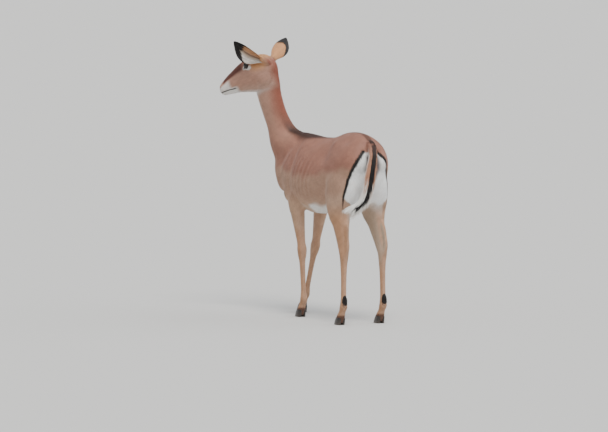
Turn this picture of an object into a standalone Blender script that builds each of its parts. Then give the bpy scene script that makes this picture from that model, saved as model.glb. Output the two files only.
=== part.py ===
"""A female impala, life size, standing with her head turned to the left.

+X is forward, +Y is the animal's left and +Z is up. Tables of stations are in centimetres;
everything else is in metres. The whole body is modelled as overlapping lofted forms, fused
into one skin and parted into named pieces with thin cuts. The hooves, eyes, ears and tail
are made on their own and meet the body face to face.
"""

import math
import random

import bmesh
import bpy
import numpy as np
from mathutils import Matrix, Vector
from mathutils.bvhtree import BVHTree

CM = 0.01
GAP = 0.0003

# Where the main landmarks lie on a ewe whose croup is 83 cm high.
CROUP_HEIGHT = 83.0
WITHERS_HEIGHT = 80.3
BELLY_HEIGHT = 45.8
SOLE_TO_CORONET = 3.4
KNEE_CUT_HEIGHT = 28.0
HOCK_CUT_HEIGHT = 28.5

# How finely each skin is fused, smoothed and thinned out.
BODY_VOXEL = 0.005
HEAD_VOXEL = 0.0025
BODY_FACES = 4700
HEAD_FACES = 2600

# Torso stations: x, back line, belly line, half width, height of the widest point,
# and how much the top narrows.
TORSO = (
    (-38.7, 74.0, 66.5, 3.2, 71.0, 0.1),
    (-37.3, 78.3, 58.5, 7.9, 69.5, 0.12),
    (-34.0, 81.6, 53.5, 10.8, 69.0, 0.2),
    (-27.0, CROUP_HEIGHT, 50.5, 11.6, 68.0, 0.27),
    (-19.0, 82.4, 48.5, 11.4, 66.0, 0.3),
    (-10.0, 80.2, 47.0, 12.0, 62.5, 0.25),
    (0.0, 79.2, BELLY_HEIGHT, 12.8, 61.5, 0.2),
    (8.0, 79.8, 45.6, 12.5, 61.5, 0.25),
    (16.0, WITHERS_HEIGHT, 46.6, 10.9, 61.5, 0.3),
    (23.0, WITHERS_HEIGHT, 48.8, 9.4, 62.5, 0.32),
    (29.0, 78.0, 51.2, 8.3, 62.8, 0.35),
    (33.2, 75.0, 54.2, 7.3, 63.8, 0.3),
    (36.2, 72.5, 57.6, 6.0, 64.6, 0.2),
    (38.2, 70.0, 61.2, 3.8, 65.4, 0.1),
)

# Neck stations: x, y, z, half depth front to back, half width, turn to the left in degrees.
NECK = (
    (19.0, 0.0, 67.0, 12.0, 7.4, 0.0),
    (30.7, 1.8, 74.5, 9.4, 7.5, 6.0),
    (34.8, 4.4, 83.5, 6.6, 5.0, 14.0),
    (36.5, 7.3, 94.0, 6.1, 4.5, 25.0),
    (36.5, 9.2, 103.0, 5.9, 4.4, 33.0),
    (36.1, 9.7, 109.0, 5.0, 4.1, 37.0),
    (36.1, 9.8, 112.2, 2.8, 2.6, 37.0),
)

# The head has its own frame: x along the face from the back of the skull, z towards the crown.
HEAD_ORIGIN = Vector((0.335, 0.077, 1.106))
HEAD_TURN = 37.0
HEAD_PITCH = 22.0
# Head stations: x, top line, lower line, half width, height of the widest point, lower narrowing.
HEAD = (
    (-0.4, 1.2, -4.5, 2.2, -1.6, 0.1),
    (1.4, 3.8, -7.5, 3.6, -1.3, 0.3),
    (4.0, 5.3, -11.3, 4.3, -0.8, 0.45),
    (7.6, 6.0, -11.2, 4.8, 0.4, 0.5),
    (11.0, 6.0, -10.2, 4.8, 1.0, 0.5),
    (14.0, 5.4, -9.0, 4.1, 0.8, 0.45),
    (17.0, 4.5, -7.9, 3.4, 0.2, 0.4),
    (20.0, 3.3, -7.0, 2.9, -0.8, 0.35),
    (23.0, 2.1, -6.4, 2.6, -1.7, 0.3),
    (25.4, 0.8, -5.9, 2.55, -2.3, 0.25),
    (27.0, -0.1, -5.6, 2.4, -2.6, 0.2),
    (27.9, -1.1, -5.0, 1.8, -2.9, 0.1),
    (28.3, -2.1, -4.2, 0.9, -3.1, 0.1),
)
EYE_RADIUS = 0.0170
EYE_AT = (10.4, 3.80, 2.4)
EYE_LOOKS = (0.32, 0.93, 0.10)
EYE_HALF_LENGTH = 0.0155
EYE_HALF_HEIGHT = 0.0122
LID_THICKNESS = 0.0028
NOSTRIL_AT = (27.0, 1.30, -1.7)
NOSTRIL_RADII = (0.010, 0.0034, 0.0062)
MOUTH_HEIGHT = -4.25
MOUTH_GROOVE = 0.0016

# Ears: root in the head's frame, and which way each points and opens in the level frame
# of the turned head: forward, left, up.
EAR_LENGTH = 0.160
EAR_ROOT = (2.0, 3.7, 1.5)
EARS = {
    "left": {
        "points": (0.78, 0.34, 0.52),
        "opens": (-0.36, 0.90, -0.22),
        "sag": 0.020,
        "bow": -0.004,
    },
    "right": {
        "points": (-0.08, -0.82, 0.57),
        "opens": (0.45, -0.45, -0.65),
        "sag": 0.006,
        "bow": 0.008,
    },
}
# Ear stations: share of the length, half width measured round the cup, half angle of the cup.
EAR = (
    (0.00, 3.0, 2.35),
    (0.15, 3.2, 1.95),
    (0.33, 4.0, 1.35),
    (0.52, 4.2, 1.08),
    (0.70, 3.6, 0.94),
    (0.84, 2.4, 0.86),
    (0.94, 1.2, 0.80),
    (1.00, 0.3, 0.70),
)
EAR_TUBE = 0.0128
EAR_THICKNESS = 0.0032
EAR_STUB = 0.014

# Swellings under the head's skin: centre in the head's frame, radii in metres.
HEAD_SWELLINGS = {
    "brow": ((9.8, 2.9, 3.3), (0.028, 0.014, 0.014)),
    "cheekbone": ((13.0, 3.1, 0.2), (0.035, 0.012, 0.011)),
    "jaw muscle": ((5.8, 2.8, -4.6), (0.042, 0.016, 0.045)),
    "nostril wing": ((26.0, 1.5, -1.7), (0.017, 0.010, 0.013)),
    "upper lip": ((25.2, 1.5, -3.2), (0.026, 0.011, 0.008)),
}
# Swellings under the body's skin, on the left: centre in centimetres, radii in metres.
BODY_SWELLINGS = {
    "shoulder blade": ((21.5, 4.7, 65.0), (0.090, 0.036, 0.120)),
    "point of shoulder": ((28.5, 4.6, 61.5), (0.065, 0.034, 0.080)),
    "seat bone": ((-35.5, 4.8, 70.0), (0.042, 0.036, 0.055)),
    "breast": ((33.2, 1.0, 70.5), (0.060, 0.035, 0.060)),
    "upper_arm": ((19.9, 6.6, 54.0), (0.040, 0.028, 0.045)),
}
ELBOW_RADII = (0.016, 0.014, 0.022)
UDDER_AT = (-0.215, 0.0, 0.520)
UDDER_RADII = (0.062, 0.045, 0.042)
TEAT_RADII = (0.0065, 0.0065, 0.016)

# Leg joints: shoulder or hip, elbow or stifle level, knee or hock, fetlock, coronet.
LEGS = {
    "fore_left": (
        (20.0, 4.2, 69.0),
        (14.4, 6.9, 49.0),
        (11.7, 5.9, 30.0),
        (10.4, 5.7, 8.2),
        (12.5, 5.7, SOLE_TO_CORONET),
    ),
    "fore_right": (
        (20.5, -4.2, 69.0),
        (16.8, -7.0, 49.0),
        (20.6, -6.1, 30.6),
        (28.2, -5.8, 8.4),
        (31.2, -5.8, SOLE_TO_CORONET),
    ),
    "hind_left": (
        (-24.5, 4.2, 75.0),
        (-25.0, 8.2, 49.0),
        (-30.2, 9.2, 31.0),
        (-30.2, 9.4, 8.2),
        (-27.8, 9.4, SOLE_TO_CORONET),
    ),
    "hind_right": (
        (-24.5, -4.2, 75.0),
        (-25.6, -8.2, 49.0),
        (-31.4, -9.2, 31.0),
        (-31.8, -9.4, 8.2),
        (-29.4, -9.4, SOLE_TO_CORONET),
    ),
}
# Leg profiles: place along the joints, half depth front to back, half width.
FORE_PROFILE = (
    (0.00, 7.3, 3.4),
    (0.35, 7.6, 4.0),
    (0.70, 6.2, 3.9),
    (1.00, 4.7, 3.4),
    (1.25, 3.6, 2.9),
    (1.55, 2.7, 2.3),
    (1.85, 2.0, 1.85),
    (2.00, 2.3, 2.1),
    (2.12, 2.05, 1.9),
    (2.28, 1.5, 1.4),
    (2.55, 1.25, 1.2),
    (2.82, 1.25, 1.2),
    (2.94, 1.55, 1.45),
    (3.04, 1.75, 1.6),
    (3.50, 1.45, 1.45),
    (4.00, 1.85, 1.8),
    (4.40, 2.0, 1.9),
)
HIND_PROFILE = (
    (0.00, 8.5, 3.6),
    (0.27, 11.6, 5.5),
    (0.52, 12.3, 6.0),
    (0.78, 11.0, 5.2),
    (1.00, 8.2, 4.4),
    (1.30, 5.4, 3.2),
    (1.60, 4.0, 2.45),
    (1.86, 3.1, 2.0),
    (2.00, 2.6, 1.95),
    (2.18, 1.9, 1.6),
    (2.45, 1.45, 1.3),
    (2.80, 1.4, 1.25),
    (2.94, 1.7, 1.5),
    (3.04, 1.9, 1.65),
    (3.50, 1.5, 1.5),
    (4.00, 1.9, 1.85),
    (4.40, 2.0, 1.95),
)
# The heel string, from the hock: x, y outward, z, half depth, half width.
HEEL_STRING = (
    (2.5, -0.8, 17.0, 1.8, 1.2),
    (-1.2, -0.4, 11.0, 1.5, 1.0),
    (-2.6, -0.1, 6.5, 1.0, 0.8),
    (-2.9, 0.0, 3.2, 1.1, 0.95),
    (-1.6, 0.0, -1.0, 1.2, 1.1),
)
HOOF_LENGTH = 0.052
HOOF_WIDTH = 0.0165
HOOF_SPLIT = 0.0025
CORONET_SLOPE = 0.18
# Hoof stations: height, share of the length, how far ahead of the coronet, share of the width.
HOOF = (
    (0.0, 0.97, 0.014, 0.95),
    (0.0015, 1.0, 0.014, 1.0),
    (0.020, 0.84, 0.008, 1.03),
    (0.046, 0.66, 0.000, 1.0),
)

# The tail hangs from the croup and its end swings to the left.
TAIL = (
    (-34.0, 0.0, 79.0, 2.3, 2.8),
    (-38.4, 0.4, 77.2, 2.0, 2.2),
    (-41.3, 1.4, 74.2, 1.4, 1.6),
    (-42.1, 2.3, 70.2, 1.1, 1.25),
    (-42.2, 3.0, 66.0, 0.95, 1.05),
    (-42.0, 3.6, 61.5, 0.8, 0.9),
    (-41.6, 4.4, 57.2, 0.7, 0.8),
    (-40.9, 6.0, 54.2, 0.6, 0.65),
    (-40.0, 8.8, 52.0, 0.45, 0.5),
)
TAIL_LOCK_LENGTH = 0.058
TAIL_LOCK_WIDTH = 0.011
TAIL_FIRST_LOCK = 6
GLAND_LOCK_LENGTH = 0.026

# Where the skin is parted: a point of each plane, and its slope along x and y.
HEAD_PARTING = (0.35, 0.075, 0.974)
HEAD_PARTING_SLOPE = (-0.42, -0.12)
NECK_PARTING = (0.305, 0.0, 0.735)
NECK_PARTING_SIZE = (0.24, 0.34)
NECK_PARTING_SLOPE = (-1.7, 0.0)
FORELEG_PARTING = (0.235, 0.09, 0.575)
FORELEG_PARTING_SIZE = (0.37, 0.178)
FORELEG_PARTING_SLOPE = (0.83, 1.38)
HIND_LEG_PARTING = (-0.27, 0.09, 0.562)
HIND_LEG_PARTING_SIZE = (0.40, 0.176)
HIND_LEG_PARTING_SLOPE = (-0.8, 1.67)
SHIN_PARTING_SIZE = (0.14, 0.11)
TAIL_PARTING = (-0.4045, 0.0, 0.7530)
TAIL_PARTING_SLOPE = (-1.0, 0.0)
TAIL_PARTING_INSET = 0.023

COAT_BACK = (0.42, 0.17, 0.08)
COAT_FLANK = (0.55, 0.30, 0.17)
BLACK_HORN = (0.03, 0.027, 0.025)
DARK_EYE = (0.02, 0.012, 0.008)


def material(name, colour, roughness, metallic=0.0):
    made = bpy.data.materials.new(name)
    made.use_nodes = True
    shader = made.node_tree.nodes["Principled BSDF"]
    shader.inputs["Base Color"].default_value = (*colour, 1.0)
    shader.inputs["Roughness"].default_value = roughness
    shader.inputs["Metallic"].default_value = metallic
    return made


def smooth_rows(rows, steps):
    """The rows with steps - 1 more between each two, on a smooth curve through them."""
    rows = np.array(rows, float)
    padded = np.vstack([2 * rows[0] - rows[1], rows, 2 * rows[-1] - rows[-2]])
    made = []
    for p0, p1, p2, p3 in zip(padded, padded[1:], padded[2:], padded[3:]):
        square = 2 * p0 - 5 * p1 + 4 * p2 - p3
        cube = 3 * p1 - p0 - 3 * p2 + p3
        for t in np.arange(steps) / steps:
            made.append(0.5 * (2 * p1 + (p2 - p0) * t + square * t**2 + cube * t**3))
    made.append(rows[-1])
    return np.array(made)


def oval(centre, side, rise, half, up, down, count, narrow_top=0.0, narrow_low=0.0):
    """A closed ring: half is its half width, up and down its reach above and below centre."""
    points = []
    for i in range(count):
        angle = math.tau * i / count
        c, s = math.cos(angle), math.sin(angle)
        narrow = narrow_top if s > 0 else narrow_low
        across = half * c * (1 - narrow * s * s)
        points.append(centre + side * across + rise * (s * (up if s > 0 else down)))
    return points


def object_from(name, build):
    bm = bmesh.new()
    build(bm)
    bmesh.ops.recalc_face_normals(bm, faces=bm.faces)
    mesh = bpy.data.meshes.new(name)
    bm.to_mesh(mesh)
    bm.free()
    made = bpy.data.objects.new(name, mesh)
    bpy.context.scene.collection.objects.link(made)
    return made


def loft(name, rings):
    """A closed body through rings of equal count, capped at both ends."""

    def build(bm):
        rows = [[bm.verts.new(p) for p in ring] for ring in rings]
        for low, high in zip(rows, rows[1:]):
            for i in range(len(low)):
                j = (i + 1) % len(low)
                bm.faces.new((low[i], low[j], high[j], high[i]))
        bm.faces.new(rows[0])
        bm.faces.new(rows[-1])

    return object_from(name, build)


def tube_rings(rows, count, across=Vector((0, 1, 0))):
    """Rings square to a path. Each row is x, y, z, half depth, half width, in centimetres."""
    points = [Vector(row[:3]) * CM for row in rows]
    rings = []
    for i, row in enumerate(rows):
        along = (points[min(i + 1, len(points) - 1)] - points[max(i - 1, 0)]).normalized()
        side = (across - along * across.dot(along)).normalized()
        fore = along.cross(side)
        depth = row[3] * CM
        rings.append(oval(points[i], side, fore, row[4] * CM, depth, depth, count))
    return rings


def ball(name, centre, radii, turn=None, finer=2):
    def build(bm):
        bmesh.ops.create_icosphere(bm, subdivisions=finer, radius=1.0)
        turned = turn.to_4x4() if turn else Matrix()
        matrix = Matrix.Translation(centre) @ turned @ Matrix.Diagonal((*radii, 1))
        bmesh.ops.transform(bm, matrix=matrix, verts=bm.verts)

    return object_from(name, build)


def block(name, at, size, slope, low, high):
    """A block between two planes z = at.z + slope . (x, y), shifted by low and by high."""

    def build(bm):
        bmesh.ops.create_cube(bm, size=1.0)
        for v in bm.verts:
            x, y = v.co.x * size[0], v.co.y * size[1]
            z = slope[0] * x + slope[1] * y + (low if v.co.z < 0 else high)
            v.co = Vector((at[0] + x, at[1] + y, at[2] + z))

    return object_from(name, build)


def slab(name, at, size, slope):
    """A thin cut along a sloping plane."""
    lift = GAP / 2 * math.sqrt(1 + slope[0] ** 2 + slope[1] ** 2)
    return block(name, at, size, slope, -lift, lift)


def evaluated_copy(obj):
    bpy.context.view_layer.update()
    graph = bpy.context.evaluated_depsgraph_get()
    mesh = bpy.data.meshes.new_from_object(obj.evaluated_get(graph))
    mesh.transform(obj.matrix_world)
    return mesh


def apply_all(obj):
    mesh = evaluated_copy(obj)
    obj.modifiers.clear()
    obj.matrix_world = Matrix()
    obj.data = mesh


def joined(name, pieces):
    """One object that holds the pieces' meshes, which stay separate shells."""
    bm = bmesh.new()
    for piece in pieces:
        mesh = evaluated_copy(piece)
        bm.from_mesh(mesh)
        bpy.data.objects.remove(piece)
    mesh = bpy.data.meshes.new(name)
    bm.to_mesh(mesh)
    bm.free()
    made = bpy.data.objects.new(name, mesh)
    bpy.context.scene.collection.objects.link(made)
    return made


def fused(name, pieces, voxel, rounds, faces):
    """One smooth skin over overlapping closed bodies."""
    made = joined(name, pieces)
    remesh = made.modifiers.new("fuse", "REMESH")
    remesh.mode = "VOXEL"
    remesh.voxel_size = voxel
    soften = made.modifiers.new("soften", "SMOOTH")
    soften.factor = 0.5
    soften.iterations = rounds
    apply_all(made)
    thin = made.modifiers.new("thin", "DECIMATE")
    thin.ratio = faces / (2 * len(made.data.polygons))
    apply_all(made)
    return made


def boolean(obj, others, operation, solver="EXACT"):
    """Joins or cuts obj with every one of the others, which are then removed."""
    helpers = bpy.data.collections.new(obj.name + " helpers")
    bpy.context.scene.collection.children.link(helpers)
    for other in others:
        bpy.context.scene.collection.objects.unlink(other)
        helpers.objects.link(other)
    change = obj.modifiers.new(operation.lower(), "BOOLEAN")
    change.operation = operation
    change.operand_type = "COLLECTION"
    change.collection = helpers
    change.solver = solver
    apply_all(obj)
    for other in others:
        bpy.data.objects.remove(other)
    bpy.data.collections.remove(helpers)


def shells(obj):
    """The separate closed surfaces of obj, each a list of its vertex indices, largest first."""
    links = [[] for _ in obj.data.vertices]
    for edge in obj.data.edges:
        a, b = edge.vertices
        links[a].append(b)
        links[b].append(a)
    found, seen = [], set()
    for start in range(len(links)):
        if start in seen:
            continue
        group, queue = [], [start]
        seen.add(start)
        while queue:
            at = queue.pop()
            group.append(at)
            for other in links[at]:
                if other not in seen:
                    seen.add(other)
                    queue.append(other)
        found.append(group)
    return sorted(found, key=len, reverse=True)


def keep_vertices(obj, group, name):
    """A new object with only these vertices of obj."""
    bm = bmesh.new()
    bm.from_mesh(obj.data)
    bm.verts.ensure_lookup_table()
    kept = set(group)
    bmesh.ops.delete(bm, geom=[v for v in bm.verts if v.index not in kept], context="VERTS")
    mesh = bpy.data.meshes.new(name)
    bm.to_mesh(mesh)
    bm.free()
    made = bpy.data.objects.new(name, mesh)
    bpy.context.scene.collection.objects.link(made)
    return made


def largest_only(obj):
    name = obj.name
    kept = keep_vertices(obj, shells(obj)[0], name)
    bpy.data.objects.remove(obj)
    kept.name = name
    return kept


# Frames of the head and of the ears.


def head_axes(pitch):
    turn = Matrix.Rotation(math.radians(HEAD_TURN), 3, "Z")
    return turn @ Matrix.Rotation(math.radians(pitch), 3, "Y")


HEAD_MATRIX = head_axes(HEAD_PITCH)
LEVEL_MATRIX = head_axes(0.0)


def on_head(point, mirrored=False):
    """A point of the head's own frame, given in centimetres, in the model's frame."""
    x, y, z = point
    return HEAD_ORIGIN + HEAD_MATRIX @ Vector((x, -y if mirrored else y, z)) * CM


def torso():
    rings = []
    side = Vector((0, 1, 0))
    rise = Vector((0, 0, 1))
    for x, top, low, half, widest, narrow in smooth_rows(TORSO, 3):
        centre = Vector((x, 0, widest)) * CM
        up, down = (top - widest) * CM, (widest - low) * CM
        rings.append(oval(centre, side, rise, half * CM, up, down, 28, narrow, 0.12))
    return loft("torso form", rings)


def neck_rings(first_height=0.0):
    rows = [row for row in smooth_rows(NECK, 4) if row[2] > first_height]
    points = [Vector(row[:3]) * CM for row in rows]
    rings = []
    for i, row in enumerate(rows):
        along = (points[min(i + 1, len(points) - 1)] - points[max(i - 1, 0)]).normalized()
        left = Matrix.Rotation(math.radians(row[5]), 3, "Z") @ Vector((0, 1, 0))
        side = (left - along * left.dot(along)).normalized()
        fore = side.cross(along)
        depth = row[3] * CM
        rings.append(oval(points[i], side, fore, row[4] * CM, depth, depth, 24, 0.05, 0.25))
    return rings


def leg_form(name, joints, profile):
    joints = np.array(joints + (2 * np.array(joints[-1]) - np.array(joints[-2]),), float)
    rows = []
    for place, depth, half in profile:
        i = min(int(place), len(joints) - 2)
        at = joints[i] + (joints[i + 1] - joints[i]) * (place - i)
        rows.append((*at, depth, half))
    return loft(name, tube_rings(smooth_rows(rows, 3), 16))


def heel_string(side, joints):
    """The tendon and the point of the hock, behind the lower thigh."""
    hock = joints[2]
    rows = []
    for x, outward, z, depth, half in HEEL_STRING:
        rows.append((hock[0] + x, hock[1] + side * outward, hock[2] + z, depth, half))
    return loft("heel string", tube_rings(smooth_rows(rows, 3), 12))


def udder():
    middle = Vector(UDDER_AT)
    pieces = [ball("udder", middle, UDDER_RADII)]
    for x in (-0.020, 0.015):
        for y in (-0.02, 0.02):
            pieces.append(ball("teat", middle + Vector((x, y, -0.040)), TEAT_RADII))
    return pieces


def muscles():
    """Soft swellings of the shoulder and the rump on both sides, and the points of the elbows."""
    made = []
    for name, (at, radii) in BODY_SWELLINGS.items():
        for side in (-1, 1):
            made.append(ball(name, Vector((at[0], side * at[1], at[2])) * CM, radii))
    for leg in ("fore_left", "fore_right"):
        elbow = Vector(LEGS[leg][1]) * CM
        made.append(ball("elbow point", elbow + Vector((-0.034, 0, 0.012)), ELBOW_RADII))
    return made


def body_skin():
    pieces = [torso(), loft("neck form", neck_rings())]
    for name, joints in LEGS.items():
        fore = name.startswith("fore")
        pieces.append(leg_form(name, joints, FORE_PROFILE if fore else HIND_PROFILE))
        if not fore:
            pieces.append(heel_string(1 if name.endswith("left") else -1, joints))
    tail_stub = smooth_rows(TAIL[:3], 5)
    pieces.append(loft("tail root", tube_rings(tail_stub, 14)))
    pieces += muscles() + udder()
    return fused("body", pieces, BODY_VOXEL, 7, BODY_FACES)


# The head's skin, with eyelids, nostrils and the line of the mouth.


def head_forms():
    rings = []
    side = HEAD_MATRIX @ Vector((0, 1, 0))
    rise = HEAD_MATRIX @ Vector((0, 0, 1))
    for x, top, low, half, widest, narrow in smooth_rows(HEAD, 4):
        middle = on_head((x, 0, widest))
        up, down = (top - widest) * CM, (widest - low) * CM
        rings.append(oval(middle, side, rise, half * CM, up, down, 28, 0.12, narrow))
    pieces = [loft("head form", rings), loft("upper neck", neck_rings(90.0))]
    for mirrored in (False, True):
        lid_radius = EYE_RADIUS + LID_THICKNESS
        pieces.append(ball("lids", eye_centre(mirrored), (lid_radius,) * 3, finer=3))
        for name, (at, radii) in HEAD_SWELLINGS.items():
            pieces.append(ball(name, on_head(at, mirrored), radii, HEAD_MATRIX))
        points, _ = ear_axes("right" if mirrored else "left")
        root = ear_root(mirrored)
        turn = points.to_track_quat("Z", "Y").to_matrix()
        pieces.append(ball("ear root", root + points * 0.002, (0.0185, 0.0185, 0.030), turn))
    return pieces


def eye_centre(mirrored):
    return on_head(EYE_AT, mirrored)


def eye_axis(mirrored):
    x, y, z = EYE_LOOKS
    return (HEAD_MATRIX @ Vector((x, -y if mirrored else y, z))).normalized()


def eye_opening(mirrored):
    """A prism of almond outline that opens the lids in front of the eyeball."""
    look = eye_axis(mirrored)
    length = HEAD_MATRIX @ Vector((0.97, 0.0, -0.24))
    length = (length - look * length.dot(look)).normalized()
    height = look.cross(length)
    rings = []
    for reach in (0.45 * EYE_RADIUS, 2.6 * EYE_RADIUS):
        ring = []
        for i in range(20):
            angle = math.tau * i / 20
            across = math.cos(angle)
            open_by = math.sin(angle) * (1 - 0.35 * across * across)
            outline = length * (EYE_HALF_LENGTH * across) + height * (EYE_HALF_HEIGHT * open_by)
            ring.append(eye_centre(mirrored) + look * reach + outline)
        rings.append(ring)
    return loft("lid opening", rings)


def mouth_groove(skin):
    """A thin tube laid along the skin from one corner of the mouth round the front to the other."""
    faces = [p.vertices for p in skin.data.polygons]
    tree = BVHTree.FromPolygons([v.co for v in skin.data.vertices], faces)
    points = []
    for degrees in np.linspace(-126, 126, 33):
        angle = math.radians(degrees)
        lift = 0.25 * math.cos(angle * 1.3)
        start = on_head((22.3, 0, MOUTH_HEIGHT + lift))
        way = HEAD_MATRIX @ Vector((math.cos(angle), math.sin(angle), 0))
        hit = tree.ray_cast(start, way)[0]
        points.append(hit)
    curve = bpy.data.curves.new("mouth line", "CURVE")
    curve.dimensions = "3D"
    spline = curve.splines.new("POLY")
    spline.points.add(len(points) - 1)
    for knot, point in zip(spline.points, points):
        knot.co = (*point, 1)
    curve.bevel_depth = MOUTH_GROOVE
    curve.bevel_resolution = 0
    curve.use_fill_caps = True
    guide = bpy.data.objects.new("mouth line", curve)
    bpy.context.scene.collection.objects.link(guide)
    mesh = evaluated_copy(guide)
    bpy.data.objects.remove(guide)

    def build(bm):
        bm.from_mesh(mesh)
        bmesh.ops.remove_doubles(bm, verts=bm.verts, dist=1e-6)

    return object_from("mouth groove", build)


def nostril(mirrored):
    inward = HEAD_MATRIX @ Vector((0.75, -0.55 if mirrored else 0.55, 0.30))
    turn = inward.to_track_quat("X", "Z").to_matrix()
    return ball("nostril", on_head(NOSTRIL_AT, mirrored), NOSTRIL_RADII, turn, finer=2)


def eyeball(name, mirrored, radius):
    return ball(name, eye_centre(mirrored), (radius,) * 3, finer=3)


def head_skin():
    skin = fused("head", head_forms(), HEAD_VOXEL, 5, HEAD_FACES)
    cuts = [mouth_groove(skin)]
    for mirrored in (False, True):
        cuts.append(nostril(mirrored))
        cuts.append(eye_opening(mirrored))
        cuts.append(ear_parting(mirrored, 1))
    below = block("below the head", HEAD_PARTING, (0.5, 0.5), HEAD_PARTING_SLOPE, -0.4, GAP / 2)
    boolean(skin, cuts + [below], "DIFFERENCE")
    sockets = [eyeball("socket", mirrored, EYE_RADIUS + GAP) for mirrored in (False, True)]
    boolean(skin, sockets, "DIFFERENCE")
    return largest_only(skin)


# Ears.


def ear_axes(side):
    points = (LEVEL_MATRIX @ Vector(EARS[side]["points"])).normalized()
    opens = LEVEL_MATRIX @ Vector(EARS[side]["opens"])
    return points, (opens - points * opens.dot(points)).normalized()


def ear_root(mirrored):
    return on_head(EAR_ROOT, mirrored)


def ear_parting(mirrored, way):
    """A block past the plane where the ear meets the head, on the ear's side or the head's."""
    points, _ = ear_axes("right" if mirrored else "left")
    turn = points.to_track_quat("Z", "Y").to_matrix().to_4x4()
    middle = ear_root(mirrored) + points * (EAR_STUB + way * (0.03 - GAP / 2))

    def build(bm):
        bmesh.ops.create_cube(bm, size=1.0)
        matrix = Matrix.Translation(middle) @ turn @ Matrix.Diagonal((0.06, 0.06, 0.06, 1))
        bmesh.ops.transform(bm, matrix=matrix, verts=bm.verts)

    return object_from("ear parting", build)


def ear(side):
    mirrored = side == "right"
    points, opens = ear_axes(side)
    across = points.cross(opens)
    root = ear_root(mirrored)
    sag, bow = EARS[side]["sag"], EARS[side]["bow"]
    rows = smooth_rows(EAR, 2)
    columns = 13

    def build(bm):
        grid = []
        for share, reach, angle in rows:
            radius = reach * CM / angle
            arch = math.sin(math.pi * share)
            bend = opens * (bow * arch + EAR_TUBE * (1 - share)) + across * (sag * arch)
            middle = root + points * (EAR_LENGTH * share) - bend
            row = []
            for i in range(columns):
                turn = angle * (2 * i / (columns - 1) - 1)
                sideways = across * (radius * math.sin(turn))
                forward = opens * (radius * (1 - math.cos(turn)))
                row.append(bm.verts.new(middle + sideways + forward))
            grid.append(row)
        for low, high in zip(grid, grid[1:]):
            for i in range(columns - 1):
                bm.faces.new((low[i], low[i + 1], high[i + 1], high[i]))

    made = object_from("ear_" + side, build)
    shell = made.modifiers.new("shell", "SOLIDIFY")
    shell.thickness = EAR_THICKNESS
    shell.offset = 0.0
    apply_all(made)
    turn = points.to_track_quat("Z", "Y").to_matrix()
    plug = ball("ear plug", root + points * 0.004, (0.0140, 0.0140, 0.021), turn)
    boolean(made, [plug], "UNION")
    boolean(made, [ear_parting(mirrored, -1)], "DIFFERENCE")
    return largest_only(made)


# Hair that stands out as separate locks.


def blade(name, root, way, lean, face, length, width, thick):
    """A flat lock whose broad side looks along face."""
    rings = []
    steps = 3
    at = root - way * (0.15 * length)
    for i in range(steps + 1):
        share = i / steps
        heading = (way * (1 - share) + lean * share).normalized()
        broad = heading.cross(face).normalized()
        normal = broad.cross(heading)
        taper = (0.85, 1.0, 0.75, 0.10)[i]
        half, deep = width / 2 * taper, thick / 2 * max(taper, 0.35)
        rings.append([at + broad * half, at + normal * deep, at - broad * half, at - normal * deep])
        at = at + heading * (length * 1.15 / steps)
    return loft(name, rings)


def tail():
    rows = smooth_rows(TAIL, 3)
    core = loft("tail", tube_rings(rows, 10))
    points = [Vector(row[:3]) * CM for row in rows]
    draw = random.Random(5)
    locks = []
    rear = Vector((-1, 0, 0))
    for level in range(TAIL_FIRST_LOCK, len(rows), 2):
        at = points[level]
        along = (points[min(level + 1, len(points) - 1)] - points[level - 1]).normalized()
        left = along.cross(rear).normalized()
        share = (level - TAIL_FIRST_LOCK) / (len(rows) - 1 - TAIL_FIRST_LOCK)
        for side in (-1, 1):
            for tier in (0, 1):
                spread = (0.75, 0.30)[tier]
                way = (along + left * (side * spread) - rear * 0.10 * tier).normalized()
                lean = (along + left * (side * 0.12)).normalized()
                length = TAIL_LOCK_LENGTH * (0.72 + 0.25 * share) * draw.uniform(0.9, 1.1)
                out = left * (side * rows[level][4] * CM * 0.55)
                root = at + out - rear * (0.002 - 0.004 * tier)
                width = TAIL_LOCK_WIDTH
                locks.append(blade("tail lock", root, way, lean, rear, length, width, 0.0026))
    along = (points[-1] - points[-2]).normalized()
    left = along.cross(rear).normalized()
    for k in range(7):
        fan = (k - 3) / 3
        way = (along + left * (0.32 * fan) + rear * (0.10 * (-1) ** k)).normalized()
        lean = (along * 0.6 + Vector((0, 0, -0.7)) + left * (0.15 * fan)).normalized()
        root = points[-2] + left * (0.002 * fan)
        length = TAIL_LOCK_LENGTH * (1.15 - 0.18 * abs(fan))
        locks.append(blade("tail tip lock", root, way, lean, rear, length, TAIL_LOCK_WIDTH, 0.003))
    boolean(core, locks, "UNION")
    size = (0.11, 0.12)
    ahead = block("before the tail", TAIL_PARTING, size, TAIL_PARTING_SLOPE, -GAP / 2, 0.1)
    boolean(core, [ahead], "DIFFERENCE")
    return largest_only(core)


def gland_tuft(joints):
    """The dark tuft behind the lower end of a hind cannon."""
    fetlock = Vector(joints[3]) * CM
    rear = Vector((-1, 0, 0))
    draw = random.Random(9)
    locks = []
    for level in range(4):
        for column in range(3):
            turn = (column - 1) * 0.7 + 0.18 * (level % 2)
            out = Vector((-math.cos(turn), math.sin(turn), 0))
            root = fetlock + Vector((0.002, 0, 0.020 + 0.011 * level)) + out * 0.0085
            way = (out * 0.75 + Vector((0, 0, -1.0))).normalized()
            lean = (out * 0.15 + Vector((0, 0, -1.0))).normalized()
            length = GLAND_LOCK_LENGTH * draw.uniform(0.85, 1.1)
            locks.append(blade("gland lock", root, way, lean, out, length, 0.009, 0.0026))
    return locks


# Hooves.


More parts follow.
